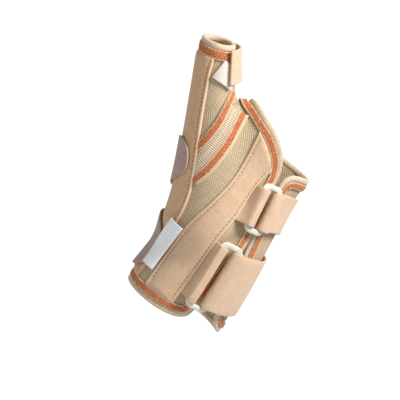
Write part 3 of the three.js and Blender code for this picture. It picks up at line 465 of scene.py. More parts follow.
def new_material(name, roughness, specular, sheen=0.0):
    """A material with its tree and its shader."""
    material = bpy.data.materials.new(name)
    material.use_nodes = True
    tree = material.node_tree
    shader = tree.nodes["Principled BSDF"]
    shader.inputs["Roughness"].default_value = roughness
    shader.inputs["Specular IOR Level"].default_value = specular
    shader.inputs["Sheen Weight"].default_value = sheen
    shader.inputs["Sheen Roughness"].default_value = 0.45
    return material, tree, shader


def set_colour(tree, shader, source, stops):
    """Colours a material by a ramp from hex colours at their places."""
    made = add(tree, "ShaderNodeValToRGB", links={"Fac": source})
    band = made.color_ramp
    while len(band.elements) < len(stops):
        band.elements.new(0.5)
    for element, (place, colour) in zip(band.elements, stops):
        element.position = place
        element.color = hex_colour(colour)
    tree.links.new(made.outputs["Color"], shader.inputs["Base Color"])


def maths(tree, operation, first, second=0.0, third=0.0):
    """One step of arithmetic on sockets or numbers."""
    made = tree.nodes.new("ShaderNodeMath")
    made.operation = operation
    for socket, value in zip(made.inputs, (first, second, third)):
        if isinstance(value, (int, float)):
            socket.default_value = value
        else:
            tree.links.new(value, socket)
    return made.outputs[0]


def noise(tree, vector, feature_mm, detail=2.0):
    """Noise whose features are about that many millimetres on a piece in metres."""
    return add(
        tree, "ShaderNodeTexNoise", {"Scale": 1 / (feature_mm * MM), "Detail": detail}, {"Vector": vector},
    ).outputs["Fac"]


def object_place(tree):
    """Place on the piece, which is also its place in the world at rest."""
    return add(tree, "ShaderNodeTexCoord").outputs["Object"]


def cloth_place(tree):
    """Ways along and across the cloth, in millimetres."""
    place = add(tree, "ShaderNodeUVMap", uv_map="cloth").outputs["UV"]
    parts = add(tree, "ShaderNodeSeparateXYZ", links={"Vector": place})
    return parts.outputs["X"], parts.outputs["Y"]


def set_bump(tree, shader, height, depth_mm, strength):
    """Relief from a height between 0 and 1."""
    bump = add(
        tree, "ShaderNodeBump", {"Strength": strength, "Distance": depth_mm * MM}, {"Height": height},
    )
    tree.links.new(bump.outputs["Normal"], shader.inputs["Normal"])


def brushed_velour(name, light, middle, dark, hem=0.0):
    """Polyamide loop velour, brushed: matt, with a short soft pile, paler where a hem is folded flat, and
    lighter still along the hem's rolled fold as a painted highlight.
    """
    material, tree, shader = new_material(name, 1.0, 0.1, 0.25)
    place = object_place(tree)
    pile = noise(tree, place, 0.5, 3.0)
    nap = noise(tree, place, 2.4)
    patches = noise(tree, place, 9.0)
    blend = maths(tree, "ADD", maths(tree, "MULTIPLY", pile, 0.5), maths(tree, "MULTIPLY", nap, 0.3))
    blend = maths(tree, "ADD", blend, maths(tree, "MULTIPLY", patches, 0.2))
    if hem:
        # The cloth's second way counts from a sleeve's long edge: first the rolled fold, lightened as a
        # painted highlight, then the hem
        side = cloth_place(tree)[1]
        on_hem = maths(tree, "LESS_THAN", side, hem - 0.5)
        # Painted highlight: the outermost 0.7 mm of the rolled fold is lightened as though it caught the
        # light
        fold_highlight = maths(tree, "LESS_THAN", side, 0.7)
        blend = maths(tree, "MULTIPLY_ADD", on_hem, 0.06, maths(tree, "MULTIPLY_ADD", fold_highlight, 0.2, blend))
    set_colour(tree, shader, blend, [(0.3, dark), (0.5, middle), (0.7, light)])
    set_bump(tree, shader, maths(tree, "ADD", pile, nap), 0.22, 0.6)
    return material


def waves(tree, way, pitch_mm, shift=0.0):
    """A sine between 0 and 1 along one way of the cloth."""
    turn = maths(tree, "MULTIPLY_ADD", way, 2 * math.pi / pitch_mm, shift)
    return maths(tree, "MULTIPLY_ADD", maths(tree, "SINE", turn), 0.5, 0.5)


def spacer_knit(name):
    """Warp-knitted spacer mesh: small eyelets in staggered rows, olive beige, matt."""
    # The real eyelets are about 1.2 mm apart, drawn at 1.6 mm so that they show
    pitch = 1.6
    material, tree, shader = new_material(name, 0.95, 0.15, 0.15)
    u, v = cloth_place(tree)
    first = maths(tree, "MULTIPLY", waves(tree, u, pitch), waves(tree, v, pitch))
    second = maths(tree, "MULTIPLY", waves(tree, u, pitch, math.pi), waves(tree, v, pitch, math.pi))
    eyelets = maths(tree, "MAXIMUM", first, second)
    soft = noise(tree, object_place(tree), 5.0)
    blend = maths(tree, "MULTIPLY_ADD", soft, 0.3, maths(tree, "MULTIPLY", eyelets, -0.75))
    blend = maths(tree, "ADD", blend, 0.7)
    set_colour(tree, shader, blend, [(0.10, "A58D6D"), (0.45, "C8B08D"), (0.85, "DECAAB")])
    set_bump(tree, shader, maths(tree, "SUBTRACT", 1.0, eyelets), 0.35, 0.8)
    return material


def cover_stitched_tape(name, half_mm, band_mm):
    """Cream polyester tape under uneven rows of rust cover stitch, with paler thread between them."""
    # The real stitches are about 1 mm long, drawn at 1.5 mm so that they show, in rows 1.3 mm apart
    length, slant, row = 1.5, 0.8, 1.3
    material, tree, shader = new_material(name, 0.85, 0.2, 0.1)
    u, v = cloth_place(tree)
    place = object_place(tree)
    # The thread covers band_mm on each side of the middle, up to 0.8 mm more or less
    ragged = maths(tree, "MULTIPLY_ADD", noise(tree, place, 0.9), 1.6, band_mm - 0.8)
    uneven = maths(tree, "MULTIPLY_ADD", noise(tree, place, 0.7, 3.0), 1.5, -0.75)
    middle = maths(tree, "ABSOLUTE", maths(tree, "SUBTRACT", v, half_mm))
    inside = maths(tree, "LESS_THAN", middle, ragged)
    rising = waves(tree, maths(tree, "MULTIPLY_ADD", v, slant, u), length)
    falling = waves(tree, maths(tree, "MULTIPLY_ADD", v, -slant, u), length)
    crossing = maths(tree, "MULTIPLY_ADD", maths(tree, "MAXIMUM", rising, falling), 0.3, 0.2)
    loops = maths(tree, "MULTIPLY_ADD", waves(tree, v, row), 0.3, crossing)
    thread = maths(tree, "MULTIPLY", inside, maths(tree, "ADD", loops, uneven))
    set_colour(tree, shader, thread, [(0.05, "DEC4A4"), (0.24, "DFAA80"), (0.47, "CF7D50"), (0.76, "BC562B")])
    set_bump(tree, shader, thread, 0.35, 0.8)
    return material


def elastic_binding(name):
    """Folded elastic binding: cream, with fine cross ribs and a matt sheen."""
    material, tree, shader = new_material(name, 0.8, 0.25, 0.2)
    ribs = waves(tree, cloth_place(tree)[0], 0.9)
    soft = noise(tree, object_place(tree), 2.5)
    blend = maths(tree, "MULTIPLY_ADD", ribs, 0.35, maths(tree, "MULTIPLY", soft, 0.65))
    set_colour(tree, shader, blend, [(0.2, "C9AF92"), (0.5, "DCC5A8"), (0.8, "E8D5BC")])
    set_bump(tree, shader, blend, 0.15, 0.6)
    return material


def ribbed_elastic(name, cord_mm):
    """Woven elastic: matt cream cross ribs with grey gaps between them, and a cord along its middle."""
    material, tree, shader = new_material(name, 0.85, 0.2, 0.1)
    u, v = cloth_place(tree)
    ribs = waves(tree, u, RIB_PITCH)
    rows = maths(tree, "ABSOLUTE", maths(tree, "SUBTRACT", v, cord_mm))
    cord = maths(tree, "LESS_THAN", rows, 0.45)
    blend = maths(tree, "MAXIMUM", ribs, cord)
    soft = noise(tree, object_place(tree), 1.5)
    blend = maths(tree, "MULTIPLY_ADD", soft, 0.3, maths(tree, "MULTIPLY", blend, 0.75))
    set_colour(tree, shader, blend, [(0.10, "AF9A7E"), (0.45, "CFBA9C"), (0.85, "E4D1B6")])
    set_bump(tree, shader, ribs, 0.3, 0.7)
    return material


def moulded_plastic(name):
    """Injection-moulded acetal: off-white, satin, with a barely uneven skin."""
    material, tree, shader = new_material(name, 0.38, 0.5)
    soft = noise(tree, object_place(tree), 5.0)
    set_colour(tree, shader, soft, [(0.3, "D8D5C3"), (0.7, "E6E3D4")])
    set_bump(tree, shader, noise(tree, object_place(tree), 0.6), 0.03, 0.4)
    shader.inputs["Subsurface Weight"].default_value = 0.08
    shader.inputs["Subsurface Radius"].default_value = (0.002, 0.0018, 0.0014)
    return material


def woven_satin(name):
    """Polyester satin ribbon: white, fine weft across it, a soft gloss."""
    material, tree, shader = new_material(name, 0.55, 0.4, 0.1)
    u, v = cloth_place(tree)
    weft = maths(tree, "MULTIPLY", waves(tree, u, 0.8), waves(tree, v, 1.1))
    soft = noise(tree, object_place(tree), 4.0)
    blend = maths(tree, "MULTIPLY_ADD", weft, 0.4, maths(tree, "MULTIPLY", soft, 0.6))
    set_colour(tree, shader, blend, [(0.15, "F2F4F7"), (0.6, "FFFFFF")])
    set_bump(tree, shader, weft, 0.08, 0.5)
    return material


def hook_tape(name):
    """Nylon hook tape: off-white ground with rows of tiny hooks, slightly glossy."""
    material, tree, shader = new_material(name, 0.5, 0.5)
    u, v = cloth_place(tree)
    hooks = maths(tree, "MULTIPLY", waves(tree, u, 1.4), waves(tree, v, 1.4))
    set_colour(tree, shader, hooks, [(0.1, "E2D6C9"), (0.5, "EADFD4"), (0.9, "F3EAE1")])
    set_bump(tree, shader, hooks, 0.25, 0.6)
    return material


def sewing_thread(name):
    """Spun polyester thread: brown, matt, a little uneven in colour."""
    material, tree, shader = new_material(name, 0.8, 0.3)
    soft = noise(tree, object_place(tree), 1.2)
    set_colour(tree, shader, soft, [(0.3, "7C583B"), (0.7, "9E7650")])
    set_bump(tree, shader, soft, 0.1, 0.5)
    return material


velour = brushed_velour("brushed_loop_velour", "E6C8AA", "D8B898", "C8A382", FOREARM_HEM)
# Painted shade: the thumb sleeve's velour is a redder, more saturated copy of the forearm sleeve's, as that
# sleeve looks in the shade
thumb_shade_velour = brushed_velour("thumb_loop_velour_painted_shade", "E6C5A4", "DAB38C", "C69D77", THUMB_HEM)
strap_velour = brushed_velour("strap_loop_velour", "E6C9AC", "DBBD9F", "CFAC8B")
# Painted shade: a darker, greyer mauve copy of the strap velour for the strap tips, which lie in shade at the
# far left
tip_shade_velour = brushed_velour("strap_tip_painted_shade", "C6AFA2", "B69D90", "A68D80")
knit = spacer_knit("spacer_mesh_knit")
binding = elastic_binding("cream_elastic_binding")
edge_stitched = cover_stitched_tape("cover_stitched_tape", TAPE_WIDTH / 2, 1.7)
cuff_stitched = cover_stitched_tape("cover_stitched_cuff_tape", CUFF_TAPE_WIDTH / 2, 2.3)
gusset_stitched = cover_stitched_tape("cover_stitched_gusset_tape", GUSSET_TAPE_WIDTH / 2, 1.8)
broad_stitched = cover_stitched_tape("cover_stitched_broad_tape", GUSSET_TAPE_WIDTH / 2 + BROAD_EDGE, 1.8)
elastic = ribbed_elastic("ribbed_gusset_elastic", (GUSSET_WIDTH + 2 * GAP + GUSSET_TUCK) / 2)
plastic = moulded_plastic("moulded_acetal")
satin = woven_satin("woven_satin_ribbon")
hooks = hook_tape("nylon_hook_tape")
brown_thread = sewing_thread("brown_sewing_thread")


# Knit wrap and thumb tube, refined from the solids and laid exactly on the form
def section_ways():
    """Way round the arm at each height and turn, so that the knit's rows keep their spacing."""
    turns = np.linspace(-180, 180, 91)
    heights = np.linspace(0, SPLINT_HEIGHT, 36)
    points = place_round(turns[None, :], heights[:, None], WALL)
    steps = np.linalg.norm(np.diff(points, axis=1), axis=-1)
    gone = np.concatenate([np.zeros((len(heights), 1)), np.cumsum(steps, axis=1)], axis=1)
    gone -= gone[:, [len(turns) // 2]]
    return turns, heights, gone


WAY_TURNS, WAY_HEIGHTS, WAY_GONE = section_ways()


def way_round(p):
    """The way round from the front at each point of the wrap."""
    middle = arm_middle(p[:, 2])
    turn = np.degrees(np.arctan2(p[:, 0] - middle[:, 0], -(p[:, 1] - middle[:, 1])))
    row = np.clip(p[:, 2] / SPLINT_HEIGHT, 0, 1) * (len(WAY_HEIGHTS) - 1)
    column = (turn + 180) / 360 * (len(WAY_TURNS) - 1)
    i = np.clip(row.astype(int), 0, len(WAY_HEIGHTS) - 2)
    j = np.clip(column.astype(int), 0, len(WAY_TURNS) - 2)
    a, b = row - i, column - j
    low = WAY_GONE[i, j] * (1 - b) + WAY_GONE[i, j + 1] * b
    high = WAY_GONE[i + 1, j] * (1 - b) + WAY_GONE[i + 1, j + 1] * b
    return low * (1 - a) + high * a


def knit_piece(name, node, to_cloth):
    """A knit solid with its faces cut in four twice, its skins on the form and its cloth coordinates laid."""
    bm = bmesh.new()
    bm.from_mesh(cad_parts[node].data)
    bmesh.ops.remove_doubles(bm, verts=bm.verts, dist=1e-6)
    for _ in range(2):
        bmesh.ops.subdivide_edges(bm, edges=bm.edges, cuts=1, use_grid_fill=True)
    bm.normal_update()
    bm.verts.index_update()
    centres = np.array([f.calc_center_median() for f in bm.faces]) / MM
    facing = (np.array([f.normal for f in bm.faces]) * normal_at(centres)).sum(-1)
    level = np.full(len(bm.verts), np.nan)
    for face, way in zip(bm.faces, facing):
        # Faces across the wall's edges look sideways and stay as they are
        if abs(way) > 0.75:
            for vert in face.verts:
                level[vert.index] = WALL if way > 0 else 0.0
    p = np.array([v.co for v in bm.verts]) / MM
    at_seam = np.abs((p - THUMB_WEB) @ THUMB_AXIS - (SEAM_AT + GAP)) < 0.15
    skin = ~np.isnan(level)
    p[skin] = settle(p[skin], level[skin])
    if node == "thumb_tube":
        # The tube's root end comes down over the gap, so that the two knits meet in their seam
        p[at_seam] -= THUMB_AXIS * (GAP + SEAM_OVERLAP)
    for vert, place in zip(bm.verts, p * MM):
        vert.co = place
    layer = bm.loops.layers.uv.new("cloth")
    along_mm, across_mm, girth = to_cloth(p)
    for face in bm.faces:
        ways = along_mm[[v.index for v in face.verts]]
        # A face over the seam at the back counts on instead of starting again
        over_seam = ways.max() - ways.min() > girth / 2
        for loop, vert, way in zip(face.loops, face.verts, ways):
            loop[layer].uv = (way + girth if over_seam and way < 0 else way, across_mm[vert.index])
    return put(finish_mesh(name, bm, knit, 35), "knit", node)


def wrap_cloth(p):
    """Ways round and up the wrap, and its girth."""
    return way_round(p), p[:, 2], (WAY_GONE[:, -1] - WAY_GONE[:, 0]).mean()


def tube_cloth(p):
    """Ways round and up the thumb, and its girth."""
    way = p - THUMB_WEB
    turn = np.arctan2(way @ THUMB_ACROSS, -(way @ THUMB_BACK))
    return turn * THUMB_WEB_DIAMETER / 2, way @ THUMB_AXIS, math.pi * THUMB_WEB_DIAMETER


wrap = knit_piece("knit_wrap", "wrist_wrap", wrap_cloth)
tube = knit_piece("knit_thumb_tube", "thumb_tube", tube_cloth)


# The wrap's edge line and its trims
def edge_line(count):
    """Points all round the wrap's cut edge, half way through its wall."""
    turns = np.array([(rad(turn) * HALF, at * SPLINT_HEIGHT, 0.0) for turn, at in OUTLINE])
    line = curve(turns, np.arange(count) / count, closed=True)
    return place_round(np.degrees(line[:, 0] / HALF), line[:, 1], WALL / 2)


def inward(points):
    """Way in over the cloth from each point of a closed edge line."""
    return unit(np.cross(np.roll(points, -1, axis=0) - np.roll(points, 1, axis=0), normal_at(points)))


EDGE_COUNT = 420
edge = edge_line(EDGE_COUNT)
edge_in = inward(edge)


def squarer(wave, power):
    """A sine or cosine pushed towards its ends, which squares an oval section."""
    return (np.sign(wave) * np.abs(wave) ** power)[:, None]


def rolled_trim(name, middle, material):
    """A closed binding with a flat oval section all round an edge."""
    columns = 12
    half_width, half_thickness = (BINDING_WIDTH + GAP) / 2, WALL / 2 + BINDING_PROUD
    middle = np.vstack([middle, middle[:1]])
    ring_in = inward(middle[:-1])
    ring_in = np.vstack([ring_in, ring_in[:1]])
    out = normal_at(middle)
    gone = lengths(middle)
    bm, i, j = numbered_grid(len(middle) - 1, columns)
    turn = j / columns * 2 * math.pi
    across = squarer(np.cos(turn), 0.6) * half_width
    up = squarer(np.sin(turn), 0.6) * half_thickness
    shape_grid(bm, middle[i] + ring_in[i] * across + out[i] * up, gone[i], turn * half_width)
    bmesh.ops.remove_doubles(bm, verts=bm.verts, dist=1e-6)
    bmesh.ops.recalc_face_normals(bm, faces=bm.faces)
    return finish_mesh(name, bm, material)


def edge_inset(distance, level):
    """The edge line moved in over the cloth, with the loops taken out that it makes at tight corners."""
    line = walk(settle(edge, level), edge_in, np.full(len(edge), distance), level)
    # A point that lies nearer to the edge than it was moved is in such a loop
    apart = np.linalg.norm(line[:, None] - edge[None], axis=-1).min(axis=1)
    kept = np.flatnonzero(apart > 0.9 * distance)
    index = np.arange(len(line))
    line = np.stack([np.interp(index, kept, line[kept, k], period=len(line)) for k in range(3)], axis=-1)
    return settle(line, level)


binding_middle = (BINDING_WIDTH + GAP) / 2
edge_bind = put(
    rolled_trim("edge_binding_elastic", edge_inset(binding_middle, WALL / 2), binding),
    "binding", "edge_binding",
)


TAPE_COLUMNS = 8
# A taped loop's height at its edges, as a share of its thickness in the middle
TAPE_EDGE = 0.55


def tape_loop(name, place, width, thickness, level, material):
    """A tape that runs in a closed loop, domed a little over its stitches."""
    lines = [place(share * width) for share in np.linspace(0, 1, TAPE_COLUMNS + 1)]
    grid = np.stack([np.vstack([line, line[:1]]) for line in lines], axis=1)
    bm, i, j = numbered_grid(len(grid) - 1, TAPE_COLUMNS)
    share = j / TAPE_COLUMNS
    base = grid[i, j]
    dome = thickness * (TAPE_EDGE + (1 - TAPE_EDGE) * np.sin(np.pi * share) ** 0.5)
    shape_grid(bm, base + normal_at(base) * dome[:, None], lengths(grid[:, 0])[i], share * width)
    bmesh.ops.remove_doubles(bm, verts=bm.verts, dist=1e-6)
    face_outwards(bm)
    return thicken(finish_mesh(name, bm, material), thickness * TAPE_EDGE + level - WALL)


tape_start = BINDING_WIDTH + 0.5 * GAP
edge_tape = put(
    tape_loop("edge_cover_tape", lambda way: edge_inset(tape_start + way, EDGE_TAPE_LEVEL),
              TAPE_WIDTH + GAP, TAPE_THICKNESS, EDGE_TAPE_LEVEL, edge_stitched),
    "stitched_tape", "edge_tape",
)

# The cuff round the thumb
RIM_NORMAL = np.array(Matrix.Rotation(RIM_SLANT, 3, Vector(THUMB_BACK)) @ Vector(THUMB_AXIS))
RIM_MIDDLE = THUMB_WEB + THUMB_AXIS * THUMB_REACH
RIM_ASIDE = unit(np.cross(RIM_NORMAL, THUMB_BACK))
RIM_AHEAD = np.cross(RIM_ASIDE, RIM_NORMAL)
RIM_COUNT = 96


def rim_line(below, level):
    """Points all round the thumb's mouth, a way below its slanting rim."""
    turn = np.linspace(0, 2 * math.pi, RIM_COUNT, endpoint=False)
    direction = np.cos(turn)[:, None] * RIM_ASIDE + np.sin(turn)[:, None] * RIM_AHEAD
    middle = np.broadcast_to(RIM_MIDDLE - RIM_NORMAL * below, direction.shape)
    return cross(middle, direction, level, True)


cuff_bind = put(
    rolled_trim("cuff_binding_elastic", rim_line(binding_middle, WALL / 2), binding),
    "binding", "cuff_binding",
)
cuff_tape = put(
    tape_loop("cuff_cover_tape", lambda way: rim_line(tape_start + way, TAPE_LEVEL),
              CUFF_TAPE_WIDTH + GAP, CUFF_TAPE_THICKNESS, TAPE_LEVEL, cuff_stitched),
    "stitched_tape", "cuff_tape",
)


# Padded sleeves over the stays, closed and filled between a lower and an upper face
def tuck_ends(base, stops):
    """Carries a grid's two short ends on until they lie under the tape that holds them."""
    grid = base.copy()
    # The way ahead is read from the third row behind, and is a tenth longer where it meets the tape askew
    for end, before in ((0, 3), (-1, -4)):
        apart = np.linalg.norm(base[end][:, None] - stops[None], axis=-1).min(axis=1)
        ahead = unit(base[end] - base[before])
        grid[end] = settle(base[end] + ahead * (1.1 * apart + TUCK)[:, None], TAPE_LEVEL)
    return grid


# A pad's rows are this far apart, with this number of columns between its two hems
PAD_STEP = 1.6
PAD_COLUMNS = 12


def pad(name, base, hem, thickness, material):
    """A closed pad on a fine grid of surface points: a rolled hem, a stitch channel and a soft crown."""
    row_way = lengths(base[:, base.shape[1] // 2])
    length = row_way[-1]
    # Ways in from an end and from a long edge where the pad has its rows and columns
    from_tuck = [0.0, 0.6, TUCK, TUCK + 0.4, TUCK + 0.9, TUCK + 1.6, TUCK + 2.6]
    from_edge = [0.0, 0.15, 0.5, 0.35 * hem, 0.6 * hem, hem - 0.4, hem, hem + 0.5, hem + 1.6]
    inner_rows = np.linspace(TUCK + 4, length - TUCK - 4, int(length / PAD_STEP))
    want = np.concatenate([from_tuck, inner_rows, length - np.array(from_tuck[::-1])])
    rows_at = np.interp(want, row_way, np.arange(len(base)))
    low = np.clip(rows_at.astype(int), 0, len(base) - 2)
    share = (rows_at - low)[:, None, None]
    lines = base[low] * (1 - share) + base[low + 1] * share
    grid, side = [], []
    for line in lines:
        gone = lengths(line)
        width = gone[-1]
        inner = np.linspace(hem + 3, width - hem - 3, PAD_COLUMNS)
        spots = np.concatenate([from_edge, inner, width - np.array(from_edge[::-1])])
        grid.append(np.stack([np.interp(spots, gone, line[:, k]) for k in range(3)], axis=-1))
        side.append(np.minimum(spots, width - spots))
    grid, side = np.array(grid), np.array(side)
    from_end = np.minimum(want, length - want)[:, None]
    # Heights as shares of the thickness: fold, hem, stitch channel and crown, and flat at a tucked end
    height = thickness * np.minimum(
        np.interp(
            side, [0.0, 0.15, 0.5, 0.4 * hem, hem - 0.5, hem, hem + 0.6, hem + 2.4, hem + 6],
            [0.34, 0.60, 0.76, 0.82, 0.74, 0.46, 0.66, 0.90, 1.05],
        ),
        np.interp(from_end, [0, TUCK, TUCK + 0.4, TUCK + 0.9, TUCK + 2.6], [0.1, 0.2, 0.5, 0.75, 1.05]),
    )
    top = settle(grid, TAPE_LEVEL)
    out = normal_at(top)
    upper = top + out * height[..., None]
    lower = top - out * (TAPE_LEVEL - WALL)
    loop = np.concatenate([upper, lower[:, ::-1], upper[:, :1]], axis=1)
    way = np.concatenate([side, side[:, ::-1], side[:, :1]], axis=1)
    bm, i, j = numbered_grid(loop.shape[0] - 1, loop.shape[1] - 1)
    shape_grid(bm, loop[i, j], want[i], way[i, j])
    bmesh.ops.remove_doubles(bm, verts=bm.verts, dist=1e-7)
    bmesh.ops.holes_fill(bm, edges=[e for e in bm.edges if e.is_boundary], sides=0)
    bmesh.ops.recalc_face_normals(bm, faces=bm.faces)
    return finish_mesh(name, bm, material, 70), upper, side


STITCH_SPACING = 2.6
STITCH_LENGTH = 1.5
THREAD_RADIUS = 0.38


def stitch_row(name, points):
    """A row of stitches along a line on the surface, each a short thread half sunk in the cloth."""
    gone = lengths(points)
    size = Matrix.Diagonal((STITCH_LENGTH / 2 * MM, THREAD_RADIUS * MM, THREAD_RADIUS * MM, 1))
    bm = bmesh.new()
    for k in range(int(gone[-1] / STITCH_SPACING)):
        ways = (k + 0.5) * STITCH_SPACING + np.array([-0.5, 0.5]) * STITCH_LENGTH
        a, b = (np.array([np.interp(w, gone, points[:, c]) for c in range(3)]) for w in ways)
        middle = (a + b) / 2
        out = normal_at(middle[None])[0]
        ahead = unit(b - a)
        side = np.cross(out, ahead)
        turn = Matrix(np.stack([ahead, side, out], axis=1)).to_4x4()
        place = Matrix.Translation(Vector(middle * MM)) @ turn
        bmesh.ops.create_uvsphere(bm, u_segments=6, v_segments=4, radius=1.0, matrix=place @ size)
    return finish_mesh(name, bm, brown_thread, 80)


def front_grid(left, right, rows, columns):
    """Surface points between two long edges that are seen from the front."""
    a = spaced([(x * HALF, at * SPLINT_HEIGHT) for x, at in left], rows)
    b = spaced([(x * HALF, at * SPLINT_HEIGHT) for x, at in right], rows)
    share = np.linspace(0, 1, columns + 1)[None, :, None]
    flat = a[:, None] * (1 - share) + b[:, None] * share
    return place_front(flat[..., 0], flat[..., 1], TAPE_LEVEL)


def side_grid(line, to_left, to_right, level, columns):
    """Surface points beside a guide line, as the solids' ribbons lie."""
    before = np.vstack([line[:1], line[:-1]])
    after = np.vstack([line[1:], line[-1:]])
    point = settle(line, level)
    right = unit(np.cross(after - before, normal_at(point)))
    share = np.linspace(0, 1, columns + 1)
    ways = mix(-to_left, to_right, share)
    start = np.broadcast_to(point[:, None], (len(line), columns + 1, 3))
    heading = np.broadcast_to(right[:, None], start.shape)
    return walk(start, heading, np.broadcast_to(ways, start.shape[:2]), level)


def hem_line(upper, side, hem, last):
    """Line of the stitches on one long side of a pad, less the rows near its tucked ends."""
    bare_rows = 8
    half = side.shape[1] // 2
    own = slice(half, None) if last else slice(0, half)
    nearest = np.abs(side[:, own] - hem).argmin(axis=1)
    return upper[:, own][np.arange(len(upper)), nearest][bare_rows:-bare_rows]


tape_stops = np.vstack([
    edge_inset(tape_start + TAPE_WIDTH + GAP, EDGE_TAPE_LEVEL),
    rim_line(tape_start + CUFF_TAPE_WIDTH + GAP, TAPE_LEVEL),
])
forearm_sleeve, forearm_top, forearm_side = pad(
    "forearm_sleeve_velour", tuck_ends(front_grid(SLEEVE_LEFT, SLEEVE_RIGHT, 90, 40), tape_stops),
    FOREARM_HEM, SLEEVE_THICKNESS, velour,
)
put(forearm_sleeve, "velour", "forearm_stay_sleeve")
thumb_grid = side_grid(front_line(THUMB_PIPING, TAPE_LEVEL, 110), 0.0, THUMB_SLEEVE_WIDTH, TAPE_LEVEL, 40)
thumb_sleeve, thumb_top, thumb_side = pad(
    "thumb_sleeve_velour", tuck_ends(thumb_grid, tape_stops), THUMB_HEM, SLEEVE_THICKNESS, thumb_shade_velour,
)
put(thumb_sleeve, "velour", "thumb_stay_sleeve")
for name, line in (
    ("forearm_sleeve_stitches_left", hem_line(forearm_top, forearm_side, FOREARM_HEM, False)),
    ("forearm_sleeve_stitches_right", hem_line(forearm_top, forearm_side, FOREARM_HEM, True)),
    ("thumb_sleeve_stitches_front", hem_line(thumb_top, thumb_side, THUMB_HEM, False)),
    ("thumb_sleeve_stitches_back", hem_line(thumb_top, thumb_side, THUMB_HEM, True)),
):
    put(stitch_row(name, line), "velour")


# Gusset and the flat tapes beside it
def band(name, line, to_left, to_right, level, thickness, material, columns=TAPE_COLUMNS, ribs=0.0):
    """A tape or elastic beside a guide line, domed a little and, where it has ribs, waved along its way."""
    grid = side_grid(line, to_left, to_right, level, columns)
    gone = lengths(line)
    bm, i, j = numbered_grid(len(line) - 1, columns)
    share = j / columns
    base = grid[i, j]
    height = thickness * (0.7 + 0.3 * np.sin(np.pi * share) ** 0.5)
    height = height + ribs * np.sin(gone[i] * 2 * math.pi / RIB_PITCH) * np.sin(np.pi * share)
    shape_grid(bm, base + normal_at(base) * height[:, None], gone[i], share * (to_left + to_right))
    face_outwards(bm)
    return thicken(finish_mesh(name, bm, material), thickness + level - WALL)


gusset_line = front_line(GUSSET, TAPE_LEVEL, 150)
upper_tape_line = front_line(GUSSET_TAPE_UPPER, TAPE_LEVEL, 90)
lower_at = GUSSET_WIDTH / 2 + GAP
gusset = put(
    band("gusset_ribbed_elastic", gusset_line, lower_at, lower_at + GUSSET_TUCK,
         TAPE_LEVEL, GUSSET_THICKNESS, elastic, 12, 0.12),
    "ribbed_elastic", "gusset_panel",
)
over_gusset = TAPE_LEVEL + GAP
lower_tape = put(
    band("gusset_cover_tape_lower", gusset_line[::2], lower_at + GUSSET_TAPE_WIDTH + BROAD_EDGE,
         GAP - lower_at, over_gusset, TAPE_THICKNESS, broad_stitched),
    "stitched_tape", "gusset_tape_lower",
)
upper_tape = put(
    band("gusset_cover_tape_upper", upper_tape_line, GUSSET_TAPE_WIDTH / 2, GUSSET_TAPE_WIDTH / 2,
         over_gusset, TAPE_THICKNESS, gusset_stitched),
    "stitched_tape", "gusset_tape_upper",
)


# Rings
def ring_length(strap_width):
    """Whole length of a ring whose slot takes a strap."""
    return strap_width + 2 * RING_END_BAR + 2 * GAP


def ring_frame(place, strap_width):
    """Middle of a ring that lies on the strap under it, and its ways across, along its bars and out."""
    x, at = place
    seat = place_front(x * HALF, at * SPLINT_HEIGHT, RING_LEVEL)
    tilted = np.array([-math.sin(RING_TILT), 0.0, math.cos(RING_TILT)])
    half = ring_length(strap_width) / 2
    ends = [walk(seat, tilted, np.array(way), RING_LEVEL) for way in (-half, half)]
    bars = unit(ends[1] - ends[0])
    out = normal_at(seat)
    out = unit(out - bars * (out @ bars))
    middle = (ends[0] + ends[1]) / 2
    middle = middle + out * max((seat - middle) @ out, 0.0)
    return {"middle": middle, "across": np.cross(bars, out), "bars": bars, "out": out}


RING_COUNT, RING_COLUMNS = 160, 16
SLOT_CORNER = 1.2


def ring_outline(half_x, half_y, radius):
    """Points on a rounded rectangle where rays from its middle meet it, the first one again at the end."""
    turns = np.linspace(0, 2 * math.pi, RING_COUNT, endpoint=False)
    corner_x, corner_y = half_x - radius, half_y - radius
    points = []
    for turn in turns:
        c, s = math.cos(turn), math.sin(turn)
        reach = min(half_x / max(abs(c), 1e-9), half_y / max(abs(s), 1e-9))
        x, y = abs(c) * reach, abs(s) * reach
        if x > corner_x and y > corner_y:
            # The ray's crossing with the corner's quarter circle
            b = -2 * (abs(c) * corner_x + abs(s) * corner_y)
            k = corner_x ** 2 + corner_y ** 2 - radius ** 2
            reach = (-b + math.sqrt(max(b * b - 4 * k, 0))) / 2
        points.append((c * reach, s * reach))
    return np.array(points + points[:1])


def plastic_ring(name, place, strap_width):
    """A moulded frame with rounded bars round a slot."""
    half_x, half_y = RING_WIDTH / 2, ring_length(strap_width) / 2
    outer = ring_outline(half_x, half_y, RING_CORNER)
    inner = ring_outline(half_x - RING_SIDE_BAR, half_y - RING_END_BAR, SLOT_CORNER)
    bm, i, j = numbered_grid(RING_COUNT, RING_COLUMNS)
    turn = j / RING_COLUMNS * 2 * math.pi
    flat = mix(inner[i], outer[i], 0.5 + 0.5 * squarer(np.cos(turn), 0.5))
    up = squarer(np.sin(turn), 0.6) * RING_THICKNESS / 2
    points = place["middle"] + flat[:, :1] * place["across"] + flat[:, 1:] * place["bars"] + up * place["out"]
    shape_grid(bm, points, i, j)
    bmesh.ops.remove_doubles(bm, verts=bm.verts, dist=1e-6)
    bmesh.ops.recalc_face_normals(bm, faces=bm.faces)
    return finish_mesh(name, bm, plastic, 50)


wrist_ring = ring_frame(WRIST_RING_PLACE, WRIST_STRAP_WIDTH)
palm_ring = ring_frame(PALM_RING_PLACE, PALM_STRAP_WIDTH)
put(plastic_ring("wrist_ring_acetal", wrist_ring, WRIST_STRAP_WIDTH), "ring_plastic", "wrist_ring")
put(plastic_ring("palm_ring_acetal", palm_ring, PALM_STRAP_WIDTH), "ring_plastic", "palm_ring")


